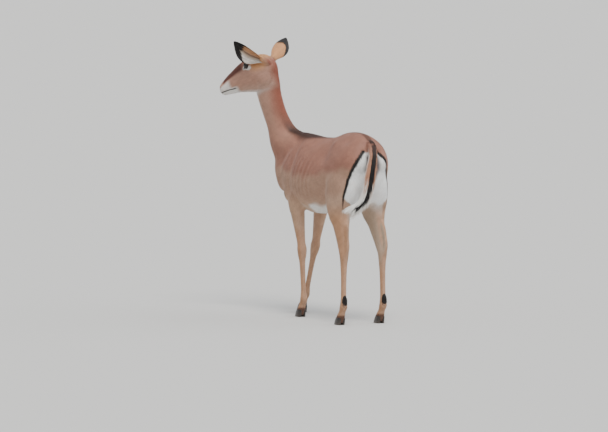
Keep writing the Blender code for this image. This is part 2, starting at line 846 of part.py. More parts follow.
def hoof(name, joints, inner):
    """One of a foot's two claws, with a flat sole, and a top cut to the coronet."""
    coronet = Vector(joints[4]) * CM
    outward = 1.0 if joints[4][1] > 0 else -1.0
    way = -outward if inner else outward
    offset = HOOF_WIDTH / 2 + HOOF_SPLIT / 2
    rings = []
    for height, length, ahead, width in HOOF:
        ring = []
        for i in range(14):
            angle = math.tau * i / 14
            along = math.cos(angle)
            across = math.sin(angle) * (1 - 0.30 * along)
            if across < 0:
                across *= 0.72
            x = coronet.x + ahead + HOOF_LENGTH / 2 * length * along
            y = coronet.y + way * (offset + HOOF_WIDTH / 2 * width * across)
            ring.append(Vector((x, y, height)))
        rings.append(ring)
    made = loft(name, rings)
    boolean(made, [coronet_block(joints, 1)], "DIFFERENCE")
    return made


def coronet_block(joints, way):
    """A block above the coronet, to trim a hoof, or below it, to trim a leg."""
    at = Vector(joints[4]) * CM
    size = (0.12, 0.09)
    slope = (CORONET_SLOPE, 0)
    if way > 0:
        return block("above coronet", at, size, slope, -GAP / 2, 0.08)
    return block("below coronet", at, size, slope, -0.06, GAP / 2)


# Parting the body.


def side_slab(name, side, at, size, slope):
    """The same sloping cut on the left or, with side -1, on the right."""
    return slab(name, (at[0], side * at[1], at[2]), size, (slope[0], side * slope[1]))


def body_cuts():
    above = block("above the neck", HEAD_PARTING, (0.4, 0.4), HEAD_PARTING_SLOPE, -GAP / 2, 0.4)
    cuts = [above, slab("neck from torso", NECK_PARTING, NECK_PARTING_SIZE, NECK_PARTING_SLOPE)]
    for side in (-1, 1):
        foreleg = (FORELEG_PARTING, FORELEG_PARTING_SIZE, FORELEG_PARTING_SLOPE)
        hind_leg = (HIND_LEG_PARTING, HIND_LEG_PARTING_SIZE, HIND_LEG_PARTING_SLOPE)
        cuts.append(side_slab("foreleg from torso", side, *foreleg))
        cuts.append(side_slab("hind leg from torso", side, *hind_leg))
    for name, joints in LEGS.items():
        height = KNEE_CUT_HEIGHT if name.startswith("fore") else HOCK_CUT_HEIGHT
        at = Vector((joints[2][0], joints[2][1], height)) * CM
        cuts.append(slab("shin cut", at, SHIN_PARTING_SIZE, (0, 0)))
        cuts.append(coronet_block(joints, -1))
    step = Vector((-1, 0, -TAIL_PARTING_SLOPE[0])) * TAIL_PARTING_INSET
    behind = Vector(TAIL_PARTING) + step
    tail_end = block("tail from torso", behind, (0.075, 0.08), TAIL_PARTING_SLOPE, -0.05, GAP / 2)
    return cuts + [tail_end]


def anchors():
    """A point in the middle of each body node."""
    found = {"torso": Vector((0, 0, 0.65)), "neck": Vector((0.34, 0.035, 0.86))}
    for name, joints in LEGS.items():
        points = [Vector(j) * CM for j in joints]
        found[name + "_upper"] = (points[1] + points[2]) / 2
        found[name + "_shin"] = (points[2] + points[3]) / 2
    return found


def part_body():
    skin = body_skin()
    boolean(skin, body_cuts(), "DIFFERENCE")
    places = anchors()
    nodes = {}
    for group in shells(skin):
        if len(group) < 30 or len(nodes) == len(places):
            break
        centre = sum((skin.data.vertices[i].co for i in group), Vector()) / len(group)
        left_over = [name for name in places if name not in nodes]
        name = min(left_over, key=lambda n: (places[n] - centre).length)
        nodes[name] = keep_vertices(skin, group, name)
    bpy.data.objects.remove(skin)
    for name, joints in LEGS.items():
        if name.startswith("hind"):
            boolean(nodes[name + "_shin"], gland_tuft(joints), "UNION")
            nodes[name + "_shin"] = largest_only(nodes[name + "_shin"])
    return nodes


def stand_on_floor(objects):
    """Moves the middle of the model's box over the origin, with its soles at zero."""
    bpy.context.view_layer.update()
    corners = [v.co for o in objects for v in o.data.vertices]
    low = Vector([min(c[i] for c in corners) for i in range(3)])
    high = Vector([max(c[i] for c in corners) for i in range(3)])
    shift = Vector((-(low.x + high.x) / 2, -(low.y + high.y) / 2, -low.z))
    for o in objects:
        o.data.transform(Matrix.Translation(shift))
    return shift


def finish_of(name):
    if name.startswith("hoof"):
        return "horn"
    if name.startswith("eye"):
        return "eye"
    if name.endswith(("upper", "shin")):
        return "pale_coat"
    return "coat"


def main():
    for old in list(bpy.data.objects):
        bpy.data.objects.remove(old)
    nodes = part_body()
    nodes["head"] = head_skin()
    for side in ("left", "right"):
        nodes["ear_" + side] = ear(side)
        nodes["eye_" + side] = eyeball("eye_" + side, side == "right", EYE_RADIUS)
    nodes["tail"] = tail()
    for name, joints in LEGS.items():
        for claw in ("inner", "outer"):
            hoof_name = f"hoof_{name}_{claw}"
            nodes[hoof_name] = hoof(hoof_name, joints, claw == "inner")

    finishes = {
        "coat": material("coat", COAT_BACK, 0.75),
        "pale_coat": material("pale_coat", COAT_FLANK, 0.75),
        "horn": material("horn", BLACK_HORN, 0.45),
        "eye": material("eye", DARK_EYE, 0.08),
    }
    home = bpy.data.collections.new("impala ewe")
    bpy.context.scene.collection.children.link(home)
    for name, node in nodes.items():
        node.name = name
        for old in list(node.users_collection):
            old.objects.unlink(node)
        home.objects.link(node)
        node.data.materials.clear()
        node.data.materials.append(finishes[finish_of(name)])
        node.data.shade_smooth()
        node.data.set_sharp_from_angle(angle=math.radians(40))
    stand_on_floor(list(nodes.values()))


main()
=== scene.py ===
"""The looks of a female impala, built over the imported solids.

Forms are worked out in the animal's own frame: +X forward, +Y her left, +Z up, soles at zero.
Tables of stations are in centimetres and everything else in metres. SHIFT moves that frame
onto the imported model's.
"""

import math
from contextlib import contextmanager

import bmesh
import bpy
import numpy as np
from mathutils import Matrix, Vector


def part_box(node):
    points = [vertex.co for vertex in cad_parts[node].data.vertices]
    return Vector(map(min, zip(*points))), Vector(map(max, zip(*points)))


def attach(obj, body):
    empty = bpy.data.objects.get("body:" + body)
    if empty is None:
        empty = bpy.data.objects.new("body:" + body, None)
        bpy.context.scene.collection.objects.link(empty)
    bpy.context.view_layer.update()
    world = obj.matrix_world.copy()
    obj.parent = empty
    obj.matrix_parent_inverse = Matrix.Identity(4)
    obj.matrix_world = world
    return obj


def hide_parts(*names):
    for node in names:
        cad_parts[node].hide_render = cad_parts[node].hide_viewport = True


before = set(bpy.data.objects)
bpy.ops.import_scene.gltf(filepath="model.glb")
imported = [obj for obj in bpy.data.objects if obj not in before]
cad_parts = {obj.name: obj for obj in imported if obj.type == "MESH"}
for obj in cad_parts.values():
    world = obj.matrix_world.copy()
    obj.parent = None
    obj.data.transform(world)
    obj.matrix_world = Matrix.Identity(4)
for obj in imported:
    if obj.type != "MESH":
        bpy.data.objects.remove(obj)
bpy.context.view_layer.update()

CM = 0.01
UP = np.array((0.0, 0.0, 1.0))
LEFT = np.array((0.0, 1.0, 0.0))
FORWARD = np.array((1.0, 0.0, 0.0))

# Torso stations: x, back line, belly line, half width, height of the widest point,
# and how much the top narrows.
TORSO = (
    (-38.7, 74.0, 66.5, 3.2, 71.0, 0.1),
    (-37.3, 78.3, 58.5, 7.9, 69.5, 0.12),
    (-34.0, 81.6, 53.5, 10.8, 69.0, 0.2),
    (-27.0, 83.0, 50.5, 11.6, 68.0, 0.27),
    (-19.0, 82.4, 48.5, 11.4, 66.0, 0.3),
    (-10.0, 80.2, 47.0, 12.0, 62.5, 0.25),
    (0.0, 79.2, 45.8, 12.8, 61.5, 0.2),
    (8.0, 79.8, 45.6, 12.5, 61.5, 0.25),
    (16.0, 80.3, 46.6, 10.9, 61.5, 0.3),
    (23.0, 80.3, 48.8, 9.4, 62.5, 0.32),
    (29.0, 78.0, 51.2, 8.3, 62.8, 0.35),
    (33.2, 75.0, 54.2, 7.3, 63.8, 0.3),
    (36.2, 72.5, 57.6, 6.0, 64.6, 0.2),
    (38.2, 70.0, 61.2, 3.8, 65.4, 0.1),
)
# Neck stations: x, y, z, half depth front to back, half width, turn to the left in degrees.
NECK = (
    (19.0, 0.0, 67.0, 12.0, 7.4, 0.0),
    (30.7, 1.8, 74.5, 9.4, 7.5, 6.0),
    (34.8, 4.4, 83.5, 6.6, 5.0, 14.0),
    (36.5, 7.3, 94.0, 6.1, 4.5, 25.0),
    (36.5, 9.2, 103.0, 5.9, 4.4, 33.0),
    (36.1, 9.7, 109.0, 5.0, 4.1, 37.0),
    (36.1, 9.8, 112.2, 2.8, 2.6, 37.0),
)
# The head has its own frame: x along the face from the back of the skull, z towards the crown.
HEAD_ORIGIN = np.array((0.335, 0.077, 1.106))
HEAD_TURN = 37.0
HEAD_PITCH = 22.0
# Head stations: x, top line, lower line, half width, height of the widest point, lower narrowing.
HEAD = (
    (-0.4, 1.2, -4.5, 2.2, -1.6, 0.1),
    (1.4, 3.8, -7.5, 3.6, -1.3, 0.3),
    (4.0, 5.3, -11.3, 4.3, -0.8, 0.45),
    (7.6, 6.0, -11.2, 4.8, 0.4, 0.5),
    (11.0, 6.0, -10.2, 4.8, 1.0, 0.5),
    (14.0, 5.4, -9.0, 4.1, 0.8, 0.45),
    (17.0, 4.5, -7.9, 3.4, 0.2, 0.4),
    (20.0, 3.3, -7.0, 2.9, -0.8, 0.35),
    (23.0, 2.1, -6.4, 2.6, -1.7, 0.3),
    (25.4, 0.8, -5.9, 2.55, -2.3, 0.25),
    (27.0, -0.1, -5.6, 2.4, -2.6, 0.2),
    (27.9, -1.1, -5.0, 1.8, -2.9, 0.1),
    (28.3, -2.1, -4.2, 0.9, -3.1, 0.1),
)
# Swellings of the head, in its own frame: middle of the left one, and radii.
HEAD_SWELLINGS = {
    "brow": ((9.8, 2.9, 3.3), (0.028, 0.014, 0.014)),
    "cheekbone": ((13.0, 3.1, 0.2), (0.035, 0.012, 0.011)),
    "jaw_muscle": ((5.8, 2.8, -4.6), (0.042, 0.016, 0.045)),
    "nostril_wing": ((26.0, 1.5, -1.7), (0.017, 0.010, 0.013)),
    "upper_lip": ((25.2, 1.5, -3.2), (0.026, 0.011, 0.008)),
}
# Soft dents in the trunk: middle, reach and depth. A negative depth is a swelling.
DENTS = (
    ((-13.5, 9.5, 71.5), (4.8, 5.0, 4.5), 1.0),
    ((13.0, 9.0, 70.0), (2.2, 5.0, 9.0), 0.50),
    ((27.0, 8.0, 70.5), (2.4, 4.0, 4.5), 0.45),
    ((21.0, 9.0, 57.0), (4.0, 4.0, 4.0), -0.45),
    ((-18.0, 7.0, 78.0), (3.2, 2.6, 2.2), -0.55),
    ((-27.0, 7.0, 79.5), (3.6, 3.0, 2.2), 0.45),
    ((-19.0, 10.0, 55.0), (4.0, 5.0, 4.0), -0.4),
    ((-13.0, 10.0, 51.5), (4.5, 4.0, 1.6), -0.35),
)
# Furrows between muscles: path, width and depth.
FURROWS = (
    (((-33.5, 8.0, 70.0), (-32.0, 9.5, 62.0), (-31.0, 10.0, 54.0)), 1.1, 0.40),
    (((-22.0, 9.5, 66.0), (-25.0, 11.0, 58.0), (-27.5, 11.0, 50.0)), 1.5, 0.40),
    (((-16.5, 9.5, 64.0), (-17.0, 10.5, 57.0), (-18.5, 9.0, 51.0)), 1.4, 0.40),
    (((17.0, 7.5, 74.0), (20.0, 8.5, 68.0), (25.0, 8.6, 61.0)), 1.2, -0.20),
    (((20.0, 7.5, 75.0), (23.5, 8.5, 69.0), (27.5, 8.0, 63.5)), 1.4, 0.20),
    (((14.0, 9.5, 62.0), (16.0, 8.8, 55.0), (18.0, 8.0, 51.0)), 1.3, 0.50),
)
# Swellings of the trunk: middle of the left one, and radii.
BODY_SWELLINGS = {
    "shoulder_blade": ((21.5, 4.7, 65.0), (0.090, 0.036, 0.120)),
    "point_of_shoulder": ((28.5, 4.6, 61.5), (0.065, 0.034, 0.080)),
    "seat_bone": ((-35.5, 4.8, 70.0), (0.042, 0.036, 0.055)),
    "breast": ((33.2, 1.0, 70.5), (0.060, 0.035, 0.060)),
    "upper_arm": ((19.9, 6.6, 54.0), (0.040, 0.028, 0.045)),
}
EYE_RADIUS = 0.0170
EYE_AT = (10.4, 3.80, 2.4)
EYE_LOOKS = (0.32, 0.93, 0.10)
EYE_HALF_LENGTH = 0.0155
EYE_HALF_HEIGHT = 0.0122
IRIS_HALVES = (0.0125, 0.0120)
PUPIL_HALVES = (0.0078, 0.0046)
LID_THICKNESS = 0.0028
NOSTRIL_AT = (27.0, 1.30, -1.7)
MOUTH_HEIGHT = -4.25
MOUTH_CORNER = 20.4
MOUTH_TURN_AT = 22.3

EAR_LENGTH = 0.160
EAR_ROOT = (2.0, 3.7, 1.5)
# For each ear, where it points, where it opens, how far it sags and how far it bows.
EARS = {
    "left": ((0.78, 0.34, 0.52), (-0.36, 0.90, -0.22), 0.020, -0.004),
    "right": ((-0.08, -0.82, 0.57), (0.45, -0.45, -0.65), 0.006, 0.008),
}
# Ear stations: share of the length, half width measured round the cup, half angle of the cup.
EAR = (
    (0.00, 3.0, 2.35),
    (0.15, 3.2, 1.95),
    (0.33, 4.0, 1.35),
    (0.52, 4.2, 1.08),
    (0.70, 3.6, 0.94),
    (0.84, 2.4, 0.86),
    (0.94, 1.2, 0.80),
    (1.00, 0.3, 0.70),
)
# The ear's sheet starts a little below its root, and that end bends into the skull.
EAR_START = -0.10
EAR_SHARES = (*np.linspace(EAR_START, 0.9, 64), *np.linspace(0.915, 1.0, 9))
EAR_COLUMNS = 49
EAR_TUBE = 0.0128
EAR_THICKNESS = 0.0028
EAR_SINKS_TO = (3.5, 0.0, 0.0)
EAR_SINKS_BY = 0.012

SOLE_TO_CORONET = 3.4
# Leg joints: shoulder or hip, elbow or stifle level, knee or hock, fetlock, coronet.
LEGS = {
    "fore_left": (
        (20.0, 4.2, 69.0),
        (14.4, 6.9, 49.0),
        (11.7, 5.9, 30.0),
        (10.4, 5.7, 8.2),
        (12.5, 5.7, SOLE_TO_CORONET),
    ),
    "fore_right": (
        (20.5, -4.2, 69.0),
        (16.8, -7.0, 49.0),
        (20.6, -6.1, 30.6),
        (28.2, -5.8, 8.4),
        (31.2, -5.8, SOLE_TO_CORONET),
    ),
    "hind_left": (
        (-24.5, 4.2, 75.0),
        (-25.0, 8.2, 49.0),
        (-30.2, 9.2, 31.0),
        (-30.2, 9.4, 8.2),
        (-27.8, 9.4, SOLE_TO_CORONET),
    ),
    "hind_right": (
        (-24.5, -4.2, 75.0),
        (-25.6, -8.2, 49.0),
        (-31.4, -9.2, 31.0),
        (-31.8, -9.4, 8.2),
        (-29.4, -9.4, SOLE_TO_CORONET),
    ),
}
# Leg profiles: place along the joints, half depth front to back, half width.
FORE_PROFILE = (
    (0.00, 7.3, 3.4),
    (0.35, 7.6, 4.0),
    (0.70, 6.2, 3.9),
    (1.00, 4.7, 3.4),
    (1.25, 3.6, 2.9),
    (1.55, 2.7, 2.3),
    (1.85, 2.0, 1.85),
    (2.00, 2.3, 2.1),
    (2.12, 2.05, 1.9),
    (2.28, 1.5, 1.4),
    (2.55, 1.25, 1.2),
    (2.82, 1.25, 1.2),
    (2.94, 1.55, 1.45),
    (3.04, 1.75, 1.6),
    (3.50, 1.45, 1.45),
    (4.00, 1.85, 1.8),
    (4.40, 2.0, 1.9),
)
HIND_PROFILE = (
    (0.00, 8.5, 3.6),
    (0.27, 11.6, 5.5),
    (0.52, 12.3, 6.0),
    (0.78, 11.0, 5.2),
    (1.00, 8.2, 4.4),
    (1.30, 5.4, 3.2),
    (1.60, 4.0, 2.45),
    (1.86, 3.1, 2.0),
    (2.00, 2.6, 1.95),
    (2.18, 1.9, 1.6),
    (2.45, 1.45, 1.3),
    (2.80, 1.4, 1.25),
    (2.94, 1.7, 1.5),
    (3.04, 1.9, 1.65),
    (3.50, 1.5, 1.5),
    (4.00, 1.9, 1.85),
    (4.40, 2.0, 1.95),
)
# Heel string stations, measured from the hock: ahead, outward, up, half depth, half width.
HEEL_STRING = (
    (2.5, -0.8, 17.0, 1.8, 1.2),
    (-1.2, -0.4, 11.0, 1.5, 1.0),
    (-2.6, -0.1, 6.5, 1.0, 0.8),
    (-2.9, 0.0, 3.2, 1.1, 0.95),
    (-1.6, 0.0, -1.0, 1.2, 1.1),
)
# Tail stations: x, y, z, half depth front to back, half width.
TAIL = (
    (-34.0, 0.0, 79.0, 2.3, 2.8),
    (-38.4, 0.4, 77.2, 2.0, 2.2),
    (-41.3, 1.4, 74.2, 1.4, 1.6),
    (-42.1, 2.3, 70.2, 1.1, 1.25),
    (-42.2, 3.0, 66.0, 0.95, 1.05),
    (-42.0, 3.6, 61.5, 0.8, 0.9),
    (-41.6, 4.4, 57.2, 0.7, 0.8),
    (-40.9, 6.0, 54.2, 0.6, 0.65),
    (-40.0, 8.8, 52.0, 0.45, 0.5),
)
CORONET_SLOPE = 0.18
HOOF_CORNERS = 56
HOOF_LEVELS = (0.0, 0.03, *np.linspace(0.08, 0.86, 27), *np.linspace(0.88, 1.0, 7))
# Growth rings, and how far the upper edge rolls in, from which share of the height.
HOOF_RINGS = 6
HOOF_RING_DEPTH = 0.003
HOOF_ROLL = 0.12
HOOF_ROLL_FROM = 0.72
HORN_TOP = 0.036
HOOF_LENGTH = 0.052
HOOF_WIDTH = 0.0165
HOOF_SPLIT = 0.0025
# Hoof stations: height, share of the length, how far ahead of the coronet, share of the width.
HOOF = (
    (0.0, 0.97, 0.014, 0.95),
    (0.0015, 1.0, 0.014, 1.0),
    (0.018, 0.86, 0.0085, 1.03),
    (0.034, 0.68, 0.0015, 1.0),
)
UDDER_AT = (-0.215, 0.0, 0.520)
UDDER_RADII = (0.062, 0.045, 0.042)
TEAT_RADII = (0.0065, 0.0065, 0.016)
TEAT_DROP = -0.040
TEATS_ALONG = (-0.020, 0.015)
TEATS_ACROSS = (-0.02, 0.02)
# The plane between head and neck: a point of it, and its rise ahead and to the left.
HEAD_PARTING = np.array((0.35, 0.075, 0.974))
HEAD_PARTING_SLOPE = (-0.42, -0.12)
PARTING_NORMAL = Vector((-HEAD_PARTING_SLOPE[0], -HEAD_PARTING_SLOPE[1], 1)).normalized()
ELBOW_OFFSET = (-0.034, 0, 0.012)
ELBOW_RADII = (0.016, 0.014, 0.022)
EAR_ROOT_RADII = (0.0170, 0.0170, 0.030)
EAR_ROOT_LIFT = 0.001
# Corners of a ring, and rings from one station to the next.
RINGS = {
    "torso": (72, 8),
    "neck": (56, 8),
    "head": (64, 10),
    "leg": (40, 7),
    "heel_string": (20, 5),
    "tail": (20, 5),
}
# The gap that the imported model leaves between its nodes.
NODE_GAP = 0.0003

BODY_VOXEL = 0.0036
HEAD_VOXEL = 0.0016
BODY_SOFTENING = 6
HEAD_SOFTENING = 9
JOIN_ROUNDS = 200
CHEST_ROUNDS = 90
# Steps of two rounds of smoothing. The back step keeps the general size, the flat one shrinks it.
FIRST_STEP = 0.60
BACK_STEP = -0.50
FLAT_STEP = 0.60
# Half the gap cut between body and head, half the band smoothed over it, and its rounds.
PARTING_GAP = 0.0012
PARTING_BAND = 0.010
PARTING_ROUNDS = 12

FLESH = (
    *("torso", "neck", "head", "ear_left", "ear_right", "tail"),
    *(f"{leg}_{piece}" for leg in LEGS for piece in ("upper", "shin")),
)
NECK_PATH = np.array(NECK)[:, :3] * CM
NECK_PLACES = np.linspace(0, 1, len(NECK))
TAIL_PATH = np.array(TAIL)[:, :3] * CM

# How many tufts lie on the body, and how many locks on each of the other parts.
COAT_COUNT = 230000
TAIL_HAIRS = 5000
GLAND_HAIRS = 500
EAR_HAIRS = 3600
EAR_ROW_SHARE = 0.20
FOOT_HAIRS = 420
LASHES = 40
WHISKERS = 22
COAT_PIECES = (
    *("coat_left_side", "coat_right_side", "coat_left_haunch", "coat_right_haunch"),
    *("coat_neck", "coat_head"),
    *("coat_" + leg for leg in LEGS),
)
# Length, width, lift and density of the tufts.
COAT_SIZES = {
    "body": (0.0125, 0.0024, 0.0009, 1.0),
    "neck": (0.0100, 0.0021, 0.0006, 1.5),
    "legs": (0.0075, 0.0018, 0.0005, 1.9),
    "head": (0.0080, 0.0016, 0.0008, 1.9),
    "face": (0.0052, 0.0011, 0.0005, 3.5),
    "muzzle": (0.0032, 0.0008, 0.0003, 5.0),
}
# Width of a lock at its steps, as a share of its own.
LOCK_TAPER = (0.80, 1.0, 0.70, 0.08)
# Brightness of a lock from root to tip, of a tuft's two root corners, ridge and tip, and of the
# skin and the ears under them: painted shade darkens the roots and the skin beneath the coat,
# and a painted highlight lightens the tips.
LOCK_PAINTED_SHADE = (0.86, 1.05)
TUFT_PAINTED_SHADE = (0.88, 0.88, 0.98, 1.06)
SKIN_PAINTED_SHADE = 0.86
EAR_SKIN_PAINTED_SHADE = 0.90
# Half the width and the whole length of the patch that a tuft takes up on the unwrapped skin.
PATCH_HALF = 0.0015
PATCH_LENGTH = 0.0030
# Middle lines about which the coats of head and body are unwrapped.
HEAD_MIDDLE = (12.0, 0.0, -2.0)
BODY_HEIGHT = 0.63
# How deep a tuft's root lies in the skin.
SUNK = 0.0007
# Seeds of the random draws. The body's tufts add the number of their piece.
SEEDS = {
    "hide": 3,
    "ribs": 5,
    "flank": 11,
    "patches": 21,
    "specks": 22,
    "ear_tip": 31,
    "ear": 32,
    "lids": 41,
    "tail": 55,
    "glands": 56,
    "ear_hair": 57,
    "lashes": 58,
    "feet": 59,
    "whiskers": 60,
    "roots": 71,
    "tufts": 100,
}

# The photograph's view: its size and scale in pixels, how the camera stands, and the places of
# the root of the tail and of the ground.
PICTURE = (608, 432)
PIXELS_PER_METRE = 230.0
CAMERA_DISTANCE = 25.0
CAMERA_TURN = 30.0
CAMERA_DIP = 4.5
SENSOR = 36.0
TAIL_PIXEL = 372.0
GROUND_PIXEL = 318.7
FLOOR_HALF = 150.0
# Lamps: power, spread, azimuth, elevation and tint.
LAMPS = {
    "key": (2.5, 25.0, 250.0, 58.0, (1.0, 0.97, 0.93)),
    "fill": (1.0, 60.0, 330.0, 30.0, (0.95, 0.97, 1.0)),
}


# Numbers and paths.


def ramp(low, high, value):
    """0 at low, 1 at high, smooth between; low may be the larger."""
    t = np.clip((value - low) / (high - low), 0.0, 1.0)
    return t * t * (3.0 - 2.0 * t)


def between(value, start, full, fading, end):
    """Rises smoothly from start to full, and falls from fading to end."""
    return ramp(start, full, value) * ramp(end, fading, value)


def unit(vectors):
    return vectors / np.maximum(np.linalg.norm(vectors, axis=-1, keepdims=True), 1e-9)


def bell(value, middle, width):
    """1 at the middle, falling off smoothly to both sides."""
    return np.exp(-(((value - middle) / width) ** 2))


def along_path(path, share):
    """The point at each share of the path's steps."""
    places = np.linspace(0, 1, len(path))
    return np.stack([np.interp(share, places, path[:, i]) for i in range(3)], axis=1)


def smooth_rows(rows, steps):
    """The rows with steps - 1 more between each two, on a smooth curve through them."""
    rows = np.array(rows, float)
    padded = np.vstack([2 * rows[0] - rows[1], rows, 2 * rows[-1] - rows[-2]])
    made = []
    for p0, p1, p2, p3 in zip(padded, padded[1:], padded[2:], padded[3:]):
        square = 2 * p0 - 5 * p1 + 4 * p2 - p3
        cube = 3 * p1 - p0 - 3 * p2 + p3
        for t in np.arange(steps) / steps:
            made.append(0.5 * (2 * p1 + (p2 - p0) * t + square * t**2 + cube * t**3))
    made.append(rows[-1])
    return np.array(made)


def near_path(points, path):
    """For each point, its distance to the path, and how far along the path the nearest place is."""
    path = np.array(path, float)
    best = np.full(len(points), 1e9)
    share = np.zeros(len(points))
    for i, (start, end) in enumerate(zip(path, path[1:])):
        span = end - start
        t = np.clip((points - start) @ span / (span @ span), 0, 1)
        away = np.linalg.norm(points - start - t[:, None] * span, axis=1)
        closer = away < best
        best = np.where(closer, away, best)
        share = np.where(closer, i + t, share)
    return best, share / (len(path) - 1)


def path_direction(path, share):
    """The path's unit direction at each share of its steps."""
    return unit(along_path(np.gradient(np.array(path, float), axis=0), share))


def ripple(points, size, name):
    """A smooth made-up unevenness between about -1 and 1, with bumps about size apart."""
    draw = np.random.default_rng(SEEDS[name])
    total = np.zeros(len(points))
    for _ in range(6):
        way = unit(draw.normal(size=3)) * (math.tau / size) * draw.uniform(0.6, 1.5)
        total += np.sin(points @ way + draw.uniform(0, math.tau))
    return total / 3.0


# Frames of the head and the ears.


def turn_matrix(axis, degrees):
    return np.array(Matrix.Rotation(math.radians(degrees), 3, axis))


LEVEL_MATRIX = turn_matrix("Z", HEAD_TURN)
HEAD_MATRIX = LEVEL_MATRIX @ turn_matrix("Y", HEAD_PITCH)


def on_head(point, mirrored=False):
    """A point of the head's own frame, in centimetres, in the animal's frame."""
    x, y, z = point
    return HEAD_ORIGIN + HEAD_MATRIX @ np.array((x, -y if mirrored else y, z)) * CM


def to_head(points):
    """Points of the animal's frame, in the head's own frame and centimetres."""
    return (points - HEAD_ORIGIN) @ HEAD_MATRIX / CM


def eye_frame(mirrored):
    """Centre of the eye, and the directions in which it looks, is long and is high."""
    side = -1 if mirrored else 1
    look = unit(HEAD_MATRIX @ np.array((EYE_LOOKS[0], side * EYE_LOOKS[1], EYE_LOOKS[2])))
    length = HEAD_MATRIX @ np.array((0.97, 0.0, -0.24))
    length = unit(length - look * (length @ look))
    height = np.cross(look, length)
    if height @ HEAD_MATRIX[:, 2] < 0:
        height = -height
    return on_head(EYE_AT, mirrored), look, length, height


def ear_frame(side):
    points, opens, sag, bow = EARS[side]
    points = unit(LEVEL_MATRIX @ np.array(points))
    opens = LEVEL_MATRIX @ np.array(opens)
    opens = unit(opens - points * (opens @ points))
    return points, opens, np.cross(points, opens), on_head(EAR_ROOT, side == "right")


def model_shift():
    """From the animal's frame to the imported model's, read off the left eyeball."""
    low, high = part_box("eye_left")
    return (np.array(low) + np.array(high)) / 2 - on_head(EYE_AT)


SHIFT = model_shift()


# Closed forms that overlap, fused into skins.


def linked(name, data):
    made = bpy.data.objects.new(name, data)
    bpy.context.scene.collection.objects.link(made)
    return made


@contextmanager
def edited(mesh, *sources):
    """Opens the sources' joined faces for changes, and writes them to the mesh at the end."""
    bm = bmesh.new()
    for source in sources:
        bm.from_mesh(source)
    yield bm
    bm.to_mesh(mesh)
    bm.free()


def object_from(name, points, faces):
    mesh = bpy.data.meshes.new(name)
    mesh.from_pydata([tuple(p) for p in points], [], faces)
    with edited(mesh, mesh) as bm:
        bmesh.ops.recalc_face_normals(bm, faces=bm.faces)
    return linked(name, mesh)


def oval(centre, side, rise, half, up, down, count, narrow_top=0.0, narrow_low=0.0):
    angle = np.arange(count) * math.tau / count
    c, s = np.cos(angle), np.sin(angle)
    narrow = np.where(s > 0, narrow_top, narrow_low)
    across = half * c * (1 - narrow * s * s)
    height = s * np.where(s > 0, up, down)
    return centre + across[:, None] * side + height[:, None] * rise


def loft(name, rings):
    count = len(rings[0])
    faces = [tuple(range(count))]
    for r in range(len(rings) - 1):
        low, high = r * count, (r + 1) * count
        for i in range(count):
            j = (i + 1) % count
            faces.append((low + i, low + j, high + j, high + i))
    faces.append(tuple(range((len(rings) - 1) * count, len(rings) * count)))
    return object_from(name, np.vstack(rings), faces)


def tube_form(kind, stations):
    """A round form through stations of x, y, z, half depth and half width."""
    corners, steps = RINGS[kind]
    rows = smooth_rows(stations, steps)
    points = rows[:, :3] * CM
    rings = []
    for point, way, row in zip(points, unit(np.gradient(points, axis=0)), rows):
        side = unit(LEFT - way * (LEFT @ way))
        depth = row[3] * CM
        rings.append(oval(point, side, np.cross(way, side), row[4] * CM, depth, depth, corners))
    return loft(kind, rings)


def ball(name, centre, radii, turn=None):
    mesh = bpy.data.meshes.new(name)
    with edited(mesh) as bm:
        bmesh.ops.create_icosphere(bm, subdivisions=4, radius=1.0)
    turned = Matrix(turn.tolist()).to_4x4() if turn is not None else Matrix()
    mesh.transform(Matrix.Translation(Vector(centre)) @ turned @ Matrix.Diagonal((*radii, 1)))
    return linked(name, mesh)


def torso_form():
    corners, steps = RINGS["torso"]
    rings = []
    for x, top, low, half, widest, narrow in smooth_rows(TORSO, steps):
        centre = np.array((x, 0, widest)) * CM
        up, down = (top - widest) * CM, (widest - low) * CM
        rings.append(oval(centre, LEFT, UP, half * CM, up, down, corners, narrow, 0.12))
    return loft("torso_form", rings)


def neck_form(first_height=0.0):
    corners, steps = RINGS["neck"]
    rows = smooth_rows(NECK, steps)
    rows = rows[rows[:, 2] > first_height]
    points = rows[:, :3] * CM
    rings = []
    for point, way, row in zip(points, unit(np.gradient(points, axis=0)), rows):
        left = turn_matrix("Z", row[5]) @ LEFT
        side = unit(left - way * (left @ way))
        fore = np.cross(side, way)
        depth = row[3] * CM
        rings.append(oval(point, side, fore, row[4] * CM, depth, depth, corners, 0.05, 0.25))
    return loft("neck_form", rings)


def leg_form(name):
    joints = np.array(LEGS[name] + (2 * np.array(LEGS[name][-1]) - np.array(LEGS[name][-2]),))
    rows = []
    for place, depth, half in FORE_PROFILE if name.startswith("fore") else HIND_PROFILE:
        i = min(int(place), len(joints) - 2)
        rows.append((*(joints[i] + (joints[i + 1] - joints[i]) * (place - i)), depth, half))
    return tube_form("leg", rows)


def heel_string_form(name):
    hock = LEGS[name][2]
    side = 1 if name.endswith("left") else -1
    rows = [
        (hock[0] + x, hock[1] + side * outward, hock[2] + z, depth, half)
        for x, outward, z, depth, half in HEEL_STRING
    ]
    return tube_form("heel_string", rows)


def udder_forms():
    middle = np.array(UDDER_AT)
    made = [ball("udder", middle, UDDER_RADII)]
    for x in TEATS_ALONG:
        for y in TEATS_ACROSS:
            made.append(ball("teat", middle + (x, y, TEAT_DROP), TEAT_RADII))
    return made


def swelling_forms():
    made = []
    for name, (at, radii) in BODY_SWELLINGS.items():
        for side in (-1, 1):
            made.append(ball(name, np.array((at[0], side * at[1], at[2])) * CM, radii))
    for leg in ("fore_left", "fore_right"):
        elbow = np.array(LEGS[leg][1]) * CM
        made.append(ball("elbow", elbow + ELBOW_OFFSET, ELBOW_RADII))
    return made


def body_forms():
    made = [torso_form(), neck_form()]
    for name in LEGS:
        made.append(leg_form(name))
        if name.startswith("hind"):
            made.append(heel_string_form(name))
    made.append(tube_form("tail", TAIL))
    return made + swelling_forms() + udder_forms()


